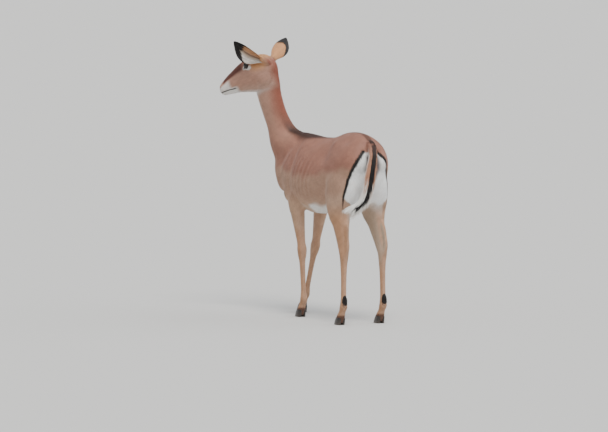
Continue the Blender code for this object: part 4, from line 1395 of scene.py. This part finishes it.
def feed(socket, value):
    if isinstance(value, bpy.types.NodeSocket):
        socket.id_data.links.new(value, socket)
    else:
        socket.default_value = value


def add_node(nodes, kind, **values):
    made = nodes.new("ShaderNode" + kind)
    set_sockets(made, **values)
    return made


def reckoned(nodes, kind, operation, *values):
    """A node that does the operation on the values."""
    made = nodes.new("ShaderNode" + kind)
    made.operation = operation
    for socket, value in zip(made.inputs, values):
        feed(socket, value)
    return made


def shader_of(name, **sockets):
    made = bpy.data.materials.new(name)
    made.use_nodes = True
    nodes = made.node_tree.nodes
    shader = nodes["Principled BSDF"]
    set_sockets(shader, **sockets)
    return made, nodes, shader


def mixed(nodes, blend_type, factor, first, second):
    made = nodes.new("ShaderNodeMix")
    made.data_type = "RGBA"
    made.blend_type = blend_type
    set_sockets(made, Factor=factor, A=first, B=second)
    return made.outputs["Result"]


def noise(nodes, place, scale, detail=4.0):
    return add_node(nodes, "TexNoise", Vector=place, Scale=scale, Detail=detail).outputs["Fac"]


def bumped(nodes, height, strength, distance):
    made = add_node(nodes, "Bump", Height=height, Strength=strength, Distance=distance)
    return made.outputs["Normal"]


def speckled(nodes, tint, grain, low, high):
    """The tint, darkened and lightened by the grain."""
    span = add_node(nodes, "MapRange", Value=grain, From_Min=0.3, From_Max=0.7, To_Min=low, To_Max=high)
    return mixed(nodes, "MULTIPLY", 1.0, tint, span.outputs["Result"])


def faded(nodes, share, first, last, last_at=1.0):
    """A colour that goes from the first to the last."""
    made = add_node(nodes, "ValToRGB", Fac=share)
    start, end = made.color_ramp.elements
    start.color, end.color = (*first, 1), (*last, 1)
    end.position = last_at
    return made.outputs["Color"]


def coat_tint(nodes, place, scale, low, high):
    coat = nodes.new("ShaderNodeAttribute")
    coat.attribute_name = "coat"
    return speckled(nodes, coat.outputs["Color"], noise(nodes, place, scale), low, high)


def skin_material():
    made, nodes, shader = shader_of(
        "skin_coat", Roughness=0.62, Sheen_Weight=0.18, Sheen_Roughness=0.45, Specular_IOR_Level=0.30
    )
    place = add_node(nodes, "TexCoord").outputs["Object"]
    bare = nodes.new("ShaderNodeAttribute")
    bare.attribute_name = "bare"
    rough = add_node(nodes, "MapRange", Value=bare.outputs["Fac"], To_Min=0.66, To_Max=0.34)
    set_sockets(
        shader,
        Base_Color=coat_tint(nodes, place, 420.0, 0.86, 1.10),
        Roughness=rough.outputs["Result"],
        Normal=bumped(nodes, noise(nodes, place, 900.0, 3.0), 0.35, 0.0008),
    )
    return made


def coat_material():
    made, nodes, shader = shader_of(
        "hair_coat", Roughness=0.55, Sheen_Weight=0.20, Sheen_Roughness=0.40, Specular_IOR_Level=0.35
    )
    place = add_node(nodes, "TexCoord").outputs["Object"]
    set_sockets(shader, Base_Color=coat_tint(nodes, place, 700.0, 0.88, 1.10))
    return made


def eye_material(side):
    """A dark brown iris with a wide pupil under a clear, wet surface."""
    made, nodes, shader = shader_of(
        "eye_" + side, Roughness=0.12, Coat_Weight=0.35, Coat_Roughness=0.02, Specular_IOR_Level=0.15
    )
    centre, _, length, height = eye_frame(side == "right")
    place = add_node(nodes, "TexCoord").outputs["Object"]
    away = reckoned(nodes, "VectorMath", "SUBTRACT", place, centre + SHIFT).outputs["Vector"]

    def along(direction, size):
        dot = reckoned(nodes, "VectorMath", "DOT_PRODUCT", away, direction / size)
        absolute = reckoned(nodes, "Math", "ABSOLUTE", dot.outputs["Value"])
        return reckoned(nodes, "Math", "POWER", absolute.outputs["Value"], 2.0).outputs["Value"]

    def disc(half_length, half_height):
        sides = along(length, half_length), along(height, half_height)
        return reckoned(nodes, "Math", "ADD", *sides).outputs["Value"]

    iris = faded(nodes, disc(*IRIS_HALVES), (0.030, 0.012, 0.006), (0.006, 0.004, 0.003), 0.85)
    pupil = add_node(nodes, "MapRange", Value=disc(*PUPIL_HALVES), From_Min=0.85, From_Max=1.1)
    tint = mixed(nodes, "MIX", pupil.outputs["Result"], (0.001, 0.001, 0.0015, 1), iris)
    set_sockets(shader, Base_Color=tint)
    return made


def horn_material():
    """Dark horn with upright grain, a little lighter towards the ground."""
    made, nodes, shader = shader_of("hoof_horn", Roughness=0.40)
    place = add_node(nodes, "TexCoord").outputs["Object"]
    parts = add_node(nodes, "SeparateXYZ", Vector=place)
    drawn_out = add_node(nodes, "Mapping", Vector=place, Scale=(1.0, 1.0, 0.10)).outputs["Vector"]
    height = add_node(nodes, "MapRange", Value=parts.outputs["Z"], From_Max=HORN_TOP).outputs["Result"]
    shade = faded(nodes, height, (0.055, 0.042, 0.034), (0.015, 0.012, 0.010))
    set_sockets(
        shader,
        Base_Color=speckled(nodes, shade, noise(nodes, place, 90.0), 0.55, 1.35),
        Normal=bumped(nodes, noise(nodes, drawn_out, 900.0), 0.30, 0.0004),
    )
    return made


def eye_object(side):
    """A smooth eyeball whose clear front stands out a little."""
    centre, look, length, height = eye_frame(side == "right")
    mesh = bpy.data.meshes.new("eye_" + side)
    with edited(mesh) as bm:
        bmesh.ops.create_uvsphere(bm, u_segments=96, v_segments=64, radius=1.0)
    points = points_of(mesh)
    swell = 1.0 + 0.020 * ramp(0.55, 0.95, points[:, 2])
    points = points * (EYE_RADIUS - NODE_GAP) * swell[:, None]
    set_points(mesh, points @ np.array((length, height, look)) + centre + SHIFT)
    mesh.shade_smooth()
    mesh.materials.append(eye_material(side))
    return linked("eyeball_" + side, mesh)


def hoof_object(leg, claw):
    """A claw with a narrow toe, a rolled upper edge and growth rings, on the sole's own outline."""
    coronet = np.array(LEGS[leg][4]) * CM
    outward = 1.0 if leg.endswith("left") else -1.0
    way = outward if claw == "outer" else -outward
    middle = coronet[1] + way * (HOOF_WIDTH + HOOF_SPLIT) / 2
    stations = np.array(HOOF)
    angle = np.arange(HOOF_CORNERS) * math.tau / HOOF_CORNERS
    ahead, across = np.cos(angle), np.sin(angle)
    across = across * (1 - 0.30 * ahead - 0.10 * np.clip(ahead, 0, 1) ** 3)
    across = np.where(across < 0, across * 0.72, across)
    rings = []
    for share in HOOF_LEVELS:
        top = SOLE_TO_CORONET * CM
        level = share * top
        length, forward, width = (np.interp(level, stations[:, 0], stations[:, i]) for i in (1, 2, 3))
        rolled = max(share - HOOF_ROLL_FROM, 0.0) / (1 - HOOF_ROLL_FROM)
        size = 1.0 - HOOF_ROLL * rolled**2.5
        size -= HOOF_RING_DEPTH * (1 - math.cos(share * math.tau * HOOF_RINGS))
        x = coronet[0] + forward + HOOF_LENGTH / 2 * length * size * ahead
        y = middle + way * HOOF_WIDTH / 2 * width * size * across
        slope = CORONET_SLOPE * (x - coronet[0])
        rings.append(np.stack([x, y, share * (top + slope - NODE_GAP)], axis=1))
    made = loft(f"horn_{leg}_{claw}", rings)
    made.data.transform(Matrix.Translation(Vector(SHIFT)))
    made.data.shade_smooth()
    made.data.set_sharp_from_angle(angle=math.radians(50))
    return made


# The coat's tufts. Each is a thin closed wedge with its root in the skin.


def spread(points, triangles, wanted, count, seed):
    """Roots spread evenly over the surface: triangle index and weights of its corners."""
    draw = np.random.default_rng(seed)
    a, b, c = (points[triangles[:, i]] for i in range(3))
    area = np.linalg.norm(np.cross(b - a, c - a), axis=1) / 2
    share = area * wanted[triangles].mean(axis=1)
    total = np.cumsum(share)
    places = (np.arange(count) + draw.uniform(0, 1, count)) * total[-1] / count
    chosen = np.minimum(np.searchsorted(total, places), len(triangles) - 1)
    u, v = draw.uniform(0, 1, (2, count))
    over = u + v > 1
    u, v = np.where(over, 1 - u, u), np.where(over, 1 - v, v)
    return chosen, np.stack([1 - u - v, u, v], axis=1)


def corner_mean(values, triangles, chosen, weights):
    return np.sum(values[triangles[chosen]] * weights[..., None], axis=1)


def painted(mesh, tints):
    paint = mesh.color_attributes.new("coat", "FLOAT_COLOR", "POINT")
    paint.data.foreach_set("color", np.hstack([tints, np.ones((len(tints), 1))]).ravel())


def joined_object(name, corners, faces, leaning, tints, spots):
    """Many small bodies with the same faces, and their normals, colours and unwrapped places."""
    count, size = corners.shape[:2]
    triangles = (np.array(faces)[None] + (np.arange(count) * size)[:, None, None]).reshape(-1, 3)
    mesh = bpy.data.meshes.new(name)
    mesh.vertices.add(count * size)
    mesh.vertices.foreach_set("co", (corners + SHIFT).ravel())
    mesh.loops.add(triangles.size)
    mesh.loops.foreach_set("vertex_index", triangles.ravel().astype(np.int32))
    mesh.polygons.add(len(triangles))
    mesh.polygons.foreach_set("loop_start", np.arange(0, triangles.size, 3, dtype=np.int32))
    mesh.update(calc_edges=True)
    painted(mesh, np.clip(tints, 0, 1).reshape(-1, 3))
    layer = mesh.uv_layers.new(name="OFBake")
    spots = np.clip(spots, 0.0, 1.0).reshape(-1, 2)
    layer.uv.foreach_set("vector", spots[triangles.ravel()].ravel())
    mesh.polygons.foreach_set("use_smooth", np.ones(len(triangles), bool))
    mesh.normals_split_custom_set_from_vertices(unit(leaning.reshape(-1, 3)))
    return linked(name, mesh)


def tuft_object(name, roots, normals, ways, lengths, widths, lifts, colours, places, seed):
    """A joined mesh of wedges. places are the roots' places on the unwrapped skin."""
    draw = np.random.default_rng(seed)
    count = len(roots)
    ways = unit(ways + unit(np.cross(normals, ways)) * draw.normal(0, 0.16, count)[:, None])
    sides = unit(np.cross(normals, ways))
    lengths = lengths * draw.uniform(0.72, 1.25, count)
    widths = widths * draw.uniform(0.75, 1.25, count)
    lifts = lifts * draw.uniform(0.4, 1.5, count)
    base = roots - normals * SUNK - ways * (lengths * 0.15)[:, None]
    half = sides * (widths / 2)[:, None]
    ridge = base + ways * (lengths * 0.30)[:, None]
    ridge = ridge + normals * (SUNK + widths * 0.16 + lifts * 0.35)[:, None]
    tip = base + ways * lengths[:, None] + normals * (SUNK + lifts)[:, None]
    corners = np.stack([base - half, base + half, ridge, tip], axis=1)
    faces = ((0, 1, 3), (0, 3, 2), (1, 2, 3), (0, 2, 1))
    aside = sides * 0.55
    leaning = np.stack([normals - aside, normals + aside, normals, normals + ways * 0.25], axis=1)
    # Painted shade on the root corners and a painted highlight on the tip.
    shade = np.array(TUFT_PAINTED_SHADE)
    tone = draw.normal(1.0, 0.06, count)
    tints = colours[:, None, :] * shade[None, :, None] * tone[:, None, None]
    patch = ((-PATCH_HALF, 0), (PATCH_HALF, 0), (0, PATCH_LENGTH / 3), (0, PATCH_LENGTH))
    return joined_object(name, corners, faces, leaning, tints, places[:, None, :] + np.array(patch))


def lock_object(name, roots, ways, leans, faces, places, lengths, widths, tints):
    """A joined mesh of longer bent locks, whose broad sides look along faces."""
    steps = len(LOCK_TAPER) - 1
    at = roots - ways * (0.12 * lengths)[:, None]
    corners, leaning = [], []
    for i, taper in enumerate(LOCK_TAPER):
        share = i / steps
        heading = unit(ways * (1 - share) + leans * share)
        broad = unit(np.cross(heading, faces))
        upright = np.cross(broad, heading)
        half = (widths * 0.5 * taper)[:, None]
        deep = half * 0.45
        corners += [at + broad * half, at + upright * deep, at - broad * half, at - upright * deep]
        leaning += [broad * 0.7 + faces * 0.5, upright + faces, faces * 0.5 - broad * 0.7, -upright]
        at = at + heading * (lengths * 1.12 / steps)[:, None]
    made = [(0, 1, 2), (0, 2, 3)]
    for i in range(steps):
        for j in range(4):
            a, b = 4 * i + j, 4 * i + (j + 1) % 4
            made += [(a, a + 4, b), (b, a + 4, b + 4)]
    last = 4 * steps
    made += [(last, last + 2, last + 1), (last, last + 3, last + 2)]
    # Painted shade at the root, a painted highlight towards the tip.
    shade = np.repeat(np.linspace(*LOCK_PAINTED_SHADE, steps + 1), 4)
    paint = np.clip(tints, 0, 1)[:, None, :] * shade[None, :, None]
    patch = np.zeros((len(corners), 2))
    patch[:, 0] = np.tile((-PATCH_HALF, 0.0, PATCH_HALF, 0.0), steps + 1)
    patch[:, 1] = np.repeat(np.linspace(0, PATCH_LENGTH, steps + 1), 4)
    patch[3::4, 1] += 0.0004
    corners, leaning = np.stack(corners, axis=1), np.stack(leaning, axis=1)
    return joined_object(name, corners, made, leaning, paint, places[:, None, :] + patch)


def stacked(rows):
    """The rows' columns, each joined into one array."""
    return [np.vstack(column) for column in zip(*rows)]


def stretched(values):
    return 0.01 + 0.98 * (values - values.min()) / max(np.ptp(values), 1e-6)


def round_unwrap(along, first, second):
    """Unwraps a round part: place along its axis, and turn about it."""
    turn = np.arctan2(second, first) / math.tau + 0.5
    return np.stack([stretched(along), 0.01 + 0.98 * turn], axis=1)


def tail_coat():
    """Short dark hair along the middle, and long hair at the sides and the tip."""
    draw = np.random.default_rng(SEEDS["tail"])
    count = TAIL_HAIRS
    share = draw.uniform(0.04, 1.0, count) ** 0.9
    along = path_direction(TAIL_PATH, share)
    left = unit(np.cross(along, -FORWARD))
    rear = np.cross(left, along)
    turn = draw.uniform(-math.pi, math.pi, count)
    aside, behind = np.abs(np.sin(turn)), np.cos(turn)
    out = rear * np.cos(turn)[:, None] + left * np.sin(turn)[:, None]
    radius = np.interp(share, np.linspace(0, 1, len(TAIL)), np.array(TAIL)[:, 4]) * CM
    roots = along_path(TAIL_PATH, share) + out * (radius * 0.80)[:, None]
    grown = ramp(0.10, 0.35, share)
    lengths = 0.014 + (0.006 + 0.034 * aside * ramp(0.2, 0.45, share)) * grown
    lengths = lengths + 0.016 * ramp(0.85, 1.0, share)
    splay = 0.15 + 0.50 * aside * draw.uniform(0.3, 1.0, count)
    ways = unit(along + out * splay[:, None])
    hang = (-0.5 * ramp(0.75, 0.95, share))[:, None] * UP
    leans = unit(along + out * (splay * 0.25)[:, None] + hang)
    tan = layered(
        SADDLE,
        (TAIL_TAN, ramp(0.10, 0.35, share)),
        (WHITE, ramp(0.50, 0.66, share + 0.12 * draw.normal(0, 0.5, count))),
        (WHITE, ramp(0.2, -0.5, behind) * ramp(0.14, 0.24, share)),
    )
    dark = (behind > 0.74) & (share < 0.96)
    tints = np.where(dark[:, None], tail_black(share - 0.10), tan)
    tints = tints * draw.normal(1.0, 0.07, count)[:, None]
    spots = round_unwrap(share, np.cos(turn), np.sin(turn))
    lengths = lengths * draw.uniform(0.75, 1.15, count)
    widths = draw.uniform(0.0018, 0.0034, count)
    faces = unit(out + rear * 0.4)
    return lock_object("coat_tail", roots, ways, leans, faces, spots, lengths, widths, tints)


def gland_coat():
    """The dark tufts behind the lower ends of the hind cannons."""
    draw = np.random.default_rng(SEEDS["glands"])
    rows = []
    for leg, place in (("hind_left", 0.25), ("hind_right", 0.75)):
        fetlock = np.array(LEGS[leg][3]) * CM
        level = draw.uniform(0.010, 0.050, GLAND_HAIRS)
        narrow = np.sqrt(1.02 - ((level - 0.030) / 0.0205) ** 2)
        turn = draw.uniform(-0.95, 0.95, GLAND_HAIRS) * narrow
        out = np.stack([-np.cos(turn), np.sin(turn), 0 * turn], axis=1)
        roots = fetlock + level[:, None] * UP + out * 0.0105
        spots = np.stack([stretched(level) * 0.9 + 0.05, place + turn * 0.2], axis=1)
        rows.append((roots, unit(out * 0.60 - UP), unit(out * 0.10 - UP), out, spots))
    count = 2 * GLAND_HAIRS
    lengths = 0.017 * draw.uniform(0.6, 1.2, count)
    tints = BLACK * draw.normal(1.1, 0.15, count)[:, None]
    widths = draw.uniform(0.0016, 0.0028, count)
    return lock_object("coat_glands", *stacked(rows), lengths, widths, tints)


def lash_coat():
    """Dark lashes along the upper lids."""
    rows = []
    for mirrored in (False, True):
        centre, look, length, height = eye_frame(mirrored)
        a = np.linspace(-0.95, 0.80, LASHES)
        b = np.sqrt(1 - a**2) * (1 - 0.45 * a**2)
        at = look + (a * EYE_HALF_LENGTH / EYE_RADIUS)[:, None] * length
        at = unit(at + (b * EYE_HALF_HEIGHT / EYE_RADIUS)[:, None] * height)
        out = unit(at + height * 0.5)
        ways = unit(out + length * (a * 0.4)[:, None])
        leans = unit(out * 0.6 - height * 0.5 + length * (a * 0.5)[:, None])
        roots = centre + at * (EYE_RADIUS + 0.0012)
        rows.append((roots, ways, leans, np.tile(height, (LASHES, 1))))
    count = 2 * LASHES
    spots = np.stack([np.linspace(0.05, 0.95, count), np.full(count, 0.5)], axis=1)
    lengths = np.random.default_rng(SEEDS["lashes"]).uniform(0.006, 0.009, count)
    widths, tints = np.full(count, 0.0007), np.tile(BLACK, (count, 1))
    return lock_object("coat_lashes", *stacked(rows), spots, lengths, widths, tints)


def foot_coat():
    """The fringe of hair over the upper edges of the hooves."""
    draw = np.random.default_rng(SEEDS["feet"])
    rows = []
    for i, joints in enumerate(LEGS.values()):
        coronet = np.array(joints[4]) * CM
        turn = draw.uniform(-math.pi, math.pi, FOOT_HAIRS)
        out = np.stack([np.cos(turn), np.sin(turn), 0 * turn], axis=1)
        up = draw.uniform(0.000, 0.011, FOOT_HAIRS)
        at = coronet + out * (0.0176, 0.0166, 0.0) * (1.0 - 12.0 * up)[:, None]
        at[:, 2] += CORONET_SLOPE * (at[:, 0] - coronet[0]) + up
        at[:, 0] += 0.002 - up * 0.5
        ways = unit(out * 0.30 - UP + FORWARD * 0.4)
        leans = unit(out * 0.12 - UP + FORWARD * 0.4)
        spots = np.stack([0.01 + 0.24 * (i + turn / math.tau + 0.5), 0.5 + at[:, 2] * 5], axis=1)
        rows.append((at, ways, leans, out, spots))
    roots, ways, leans, outs, spots = stacked(rows)
    count = len(roots)
    tints = markings(roots, outs) * draw.normal(1.0, 0.08, count)[:, None]
    lengths, widths = draw.uniform(0.0050, 0.0085, count), draw.uniform(0.0008, 0.0014, count)
    return lock_object("coat_feet", roots, ways, leans, outs, spots, lengths, widths, tints)


def whisker_coat():
    """Sparse long hairs on the upper lip and the chin."""
    draw = np.random.default_rng(SEEDS["whiskers"])
    count = 2 * WHISKERS
    side = np.where(np.arange(count) % 2 == 0, 1.0, -1.0)
    chin = draw.uniform(0, 1, count) < 0.25
    x = np.where(chin, draw.uniform(22.0, 26.5, count), draw.uniform(23.0, 26.8, count))
    half = np.interp(x, (22.0, 25.4, 27.0), (2.5, 2.3, 1.9))
    y = side * np.where(chin, draw.uniform(0.2, 1.2, count), half)
    z = np.where(chin, np.interp(x, (22.0, 27.0), (-6.1, -5.3)), draw.uniform(-3.9, -2.6, count))
    roots = HEAD_ORIGIN + np.stack([x, y, z], axis=1) @ HEAD_MATRIX.T * CM
    ahead = draw.uniform(0.2, 0.7, count)
    out = np.stack([ahead, side * np.where(chin, 0.3, 0.9), np.where(chin, -0.6, -0.25)], axis=1)
    out = unit(out @ HEAD_MATRIX.T)
    spots = np.stack([stretched(x), stretched(y)], axis=1) * 0.9 + 0.02
    faces, tints = np.tile(UP, (count, 1)), np.tile(WHITE_IN_PAINTED_SHADE * 0.7, (count, 1))
    lengths, widths = draw.uniform(0.006, 0.014, count), np.full(count, 0.0004)
    leans = unit(out - 0.3 * UP)
    return lock_object("coat_whiskers", roots, out, leans, faces, spots, lengths, widths, tints)


def ear_hair(side):
    """Short hair on the back of an ear and long pale hair along its open edges."""
    draw = np.random.default_rng(SEEDS["ear_hair"])
    count = EAR_HAIRS
    behind = draw.uniform(0, 1, count) < 0.60
    share = draw.uniform(-0.02, 0.97, count)
    edge = np.sign(draw.normal(size=count)) * draw.uniform(0.70, 0.98, count)
    row = draw.choice((-0.50, -0.18, 0.42), count) + draw.normal(0, 0.04, count)
    edge = np.where(draw.uniform(0, 1, count) < EAR_ROW_SHARE, row, edge)
    turn = np.where(behind, draw.uniform(-0.99, 0.99, count), edge)
    order = np.argsort(share)
    share, turn, behind = share[order], turn[order], behind[order]
    inside = np.where(behind, 0.0, 1.0)
    roots, ways, ups = ear_places(side, share, turn, behind)
    tints = ear_colour(side, share, turn, inside, roots)
    lengths = np.where(behind, 0.0060, 0.0170 * (1 - 0.45 * ramp(0.4, 0.95, share)))
    inward = ear_frame(side)[2] * (-np.sign(turn) * 0.45)[:, None]
    leans = unit(ways + inside[:, None] * inward + ups * 0.1)
    ways = unit(ways + ups * np.where(behind, 0.10, 0.45)[:, None])
    widths = np.where(behind, 0.0013, 0.0011) * draw.uniform(0.8, 1.2, count)
    tints = tints * draw.normal(1.0, 0.06, count)[:, None]
    spots = np.stack([stretched(share), 0.25 + 0.2 * turn + 0.5 * inside], axis=1)
    lengths = lengths * draw.uniform(0.8, 1.15, count)
    return lock_object("coat_ear_" + side, roots, ways, leans, ups, spots, lengths, widths, tints)


def ear_places(side, share, turn, behind):
    """Roots on an ear, and the directions towards its tip and out of its surface."""
    outer, inner, outward = ear_sheet(side, share, turn)
    outer_on, inner_on, _ = ear_sheet(side, share + 0.01, turn)
    behind = behind[:, None]
    roots = np.where(behind, outer, inner)
    ways = np.where(behind, outer_on, inner_on) - roots
    return roots, unit(ways), np.where(behind, outward, -outward)


def coat_sizes(points):
    """Length, width, lift and density of the tufts at each point."""
    x, _, z = (points / CM).T
    along = to_head(points)[:, 0]
    head = ramp(-0.01, 0.02, head_side(points))
    shares = {
        "neck": ramp(74.0, 80.0, z) * ramp(22.0, 27.0, x),
        "legs": np.clip(sum(leg_weights(points).values()), 0, 1) * ramp(52, 36, z),
        "head": head,
        "face": head * ramp(2.0, 9.0, along),
        "muzzle": head * ramp(17.0, 24.0, along),
    }
    layers = [(np.array(COAT_SIZES[place]), share) for place, share in shares.items()]
    return layered(np.array(COAT_SIZES["body"]), *layers).T


def coat_regions(points):
    """For each root, the index of its piece in COAT_PIECES."""
    x, y, z = (points / CM).T
    region = np.where(y >= 0, 0, 1) + np.where(x < -12.0, 2, 0)
    region = np.where((x > 24.0) & (z > 74.0), 4, region)
    for i, weight in enumerate(leg_weights(points).values()):
        region = np.where((weight > 0.5) & (z < 50.0), 6 + i, region)
    return np.where(head_side(points) > 0, 5, region)


def coat_unwrap(name, points):
    """Unwraps a piece of the coat about its own middle line."""
    leg = name.removeprefix("coat_")
    if name == "coat_head":
        return round_unwrap(*((points - on_head(HEAD_MIDDLE)) @ HEAD_MATRIX).T)
    if name == "coat_neck":
        middle = along_path(NECK_PATH, near_path(points, NECK_PATH)[1])
    elif leg in LEGS:
        path = np.array(LEGS[leg])[::-1] * CM
        middle = np.stack([np.interp(points[:, 2], path[:, 2], path[:, i]) for i in range(2)], axis=1)
    else:
        return round_unwrap(*(points - BODY_HEIGHT * UP).T)
    return round_unwrap(points[:, 2], *(points[:, :2] - middle[:, :2]).T)


def body_coat(mesh):
    points, normals = points_of(mesh), normals_of(mesh)
    mesh.calc_loop_triangles()
    triangles = np.zeros(len(mesh.loop_triangles) * 3, np.int32)
    mesh.loop_triangles.foreach_get("vertices", triangles)
    triangles = triangles.reshape(-1, 3)
    tail, _ = tail_weight(points)
    bare = ramp(0.2, 0.5, bare_share(points))
    wanted = coat_sizes(points)[3] * (1 - bare) * (1 - ramp(0.4, 0.6, tail))
    wanted *= ramp(0.030, 0.036, points[:, 2])
    chosen, weights = spread(points, triangles, wanted, COAT_COUNT, SEEDS["roots"])
    roots = corner_mean(points, triangles, chosen, weights)
    upright = unit(corner_mean(normals, triangles, chosen, weights))
    sizes = coat_sizes(roots)[:3]
    looks = (roots, upright, lie(roots, upright), *sizes, markings(roots, upright))
    region = coat_regions(roots)
    made = []
    for i, name in enumerate(COAT_PIECES):
        mine = region == i
        places = coat_unwrap(name, roots[mine])
        made.append(tuft_object(name, *(look[mine] for look in looks), places, SEEDS["tufts"] + i))
    return made


def skin_object(material):
    """The one skin: body, head and both ears."""
    mesh = skin_mesh()
    points, normals = points_of(mesh), normals_of(mesh)
    # The skin under the coat is darkened as painted shade.
    tints = [markings(points, normals) * SKIN_PAINTED_SHADE]
    bare = [bare_share(points)]
    skin = bpy.data.meshes.new("skin")
    with edited(skin, mesh) as bm:
        for side in EARS:
            at, faces, share, turn, inside = ear_data(side)
            made = [bm.verts.new(tuple(p)) for p in at]
            sheet = [bm.faces.new([made[i] for i in face]) for face in faces]
            bmesh.ops.recalc_face_normals(bm, faces=sheet)
            # The ears' skin under their hair is darkened as painted shade.
            tints.append(ear_colour(side, share, turn, inside, at) * EAR_SKIN_PAINTED_SHADE)
            bare.append(np.full(len(at), 0.1))
    painted(skin, np.vstack(tints))
    naked = skin.attributes.new("bare", "FLOAT", "POINT")
    naked.data.foreach_set("value", np.concatenate(bare))
    skin.transform(Matrix.Translation(Vector(SHIFT)))
    skin.shade_smooth()
    skin.materials.append(material)
    return linked("skin", skin), mesh


# Camera, light and floor.


def aimed(thing, view):
    """Turns a camera or a lamp to look along the view."""
    thing.rotation_mode = "QUATERNION"
    thing.rotation_quaternion = view.to_track_quat("-Z", "Y")


def photo_camera():
    """The photograph's view: behind the animal and to her left, from far away."""
    turn, dip = math.radians(CAMERA_TURN), math.radians(CAMERA_DIP)
    forward = Vector((math.cos(turn), -math.sin(turn), 0))
    right = Vector((-math.sin(turn), -math.cos(turn), 0))
    view = (forward * math.cos(dip) - Vector(UP) * math.sin(dip)).normalized()
    aim = Vector((-0.39, 0, 0)) - right * ((TAIL_PIXEL - PICTURE[0] / 2) / PIXELS_PER_METRE)
    aim -= forward * aim.dot(forward)
    aim.z = (GROUND_PIXEL - PICTURE[1] / 2) / PIXELS_PER_METRE / math.cos(dip)
    lens = bpy.data.cameras.new("camera")
    lens.sensor_width = SENSOR
    lens.lens = SENSOR * CAMERA_DISTANCE / (PICTURE[0] / PIXELS_PER_METRE)
    lens.clip_end = 500.0
    camera = linked("camera", lens)
    camera.location = aim + Vector(SHIFT) - view * CAMERA_DISTANCE
    aimed(camera, view)
    bpy.context.scene.camera = camera


def studio():
    mesh = bpy.data.meshes.new("floor")
    corners = [(x * FLOOR_HALF, y * FLOOR_HALF, 0) for x, y in ((-1, -1), (1, -1), (1, 1), (-1, 1))]
    mesh.from_pydata(corners, [], [(0, 1, 2, 3)])
    mesh.materials.append(shader_of("floor", Roughness=0.8, Base_Color=(0.62, 0.61, 0.59, 1))[0])
    floor = linked("floor", mesh)
    world = bpy.data.worlds.new("studio")
    world.use_nodes = True
    set_sockets(world.node_tree.nodes["Background"], Color=(0.92, 0.96, 1.0, 1), Strength=0.88)
    bpy.context.scene.world = world
    for name, (power, spread_angle, azimuth, elevation, tint) in LAMPS.items():
        sun = bpy.data.lights.new(name, "SUN")
        sun.energy = power
        sun.angle = math.radians(spread_angle)
        sun.color = tint
        a, e = math.radians(azimuth), math.radians(elevation)
        back = Vector((math.sin(a) * math.cos(e), -math.cos(a) * math.cos(e), math.sin(e)))
        aimed(linked(name, sun), -back)


def main():
    photo_camera()
    studio()
    skin_look, hair_look = skin_material(), coat_material()
    skin, form = skin_object(skin_look)
    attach(skin, "root")
    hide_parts(*FLESH)
    pieces = body_coat(form) + [tail_coat(), gland_coat(), foot_coat(), lash_coat(), whisker_coat()]
    pieces += [ear_hair(side) for side in EARS]
    for piece in pieces:
        piece.data.materials.append(hair_look)
        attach(piece, "root")
    for side in ("left", "right"):
        eye = eye_object(side)
        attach(eye, "root")
        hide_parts("eye_" + side)
    horn = horn_material()
    for leg in LEGS:
        for claw in ("inner", "outer"):
            hoof = hoof_object(leg, claw)
            hoof.data.materials.append(horn)
            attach(hoof, "root")
            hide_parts(f"hoof_{leg}_{claw}")


main()
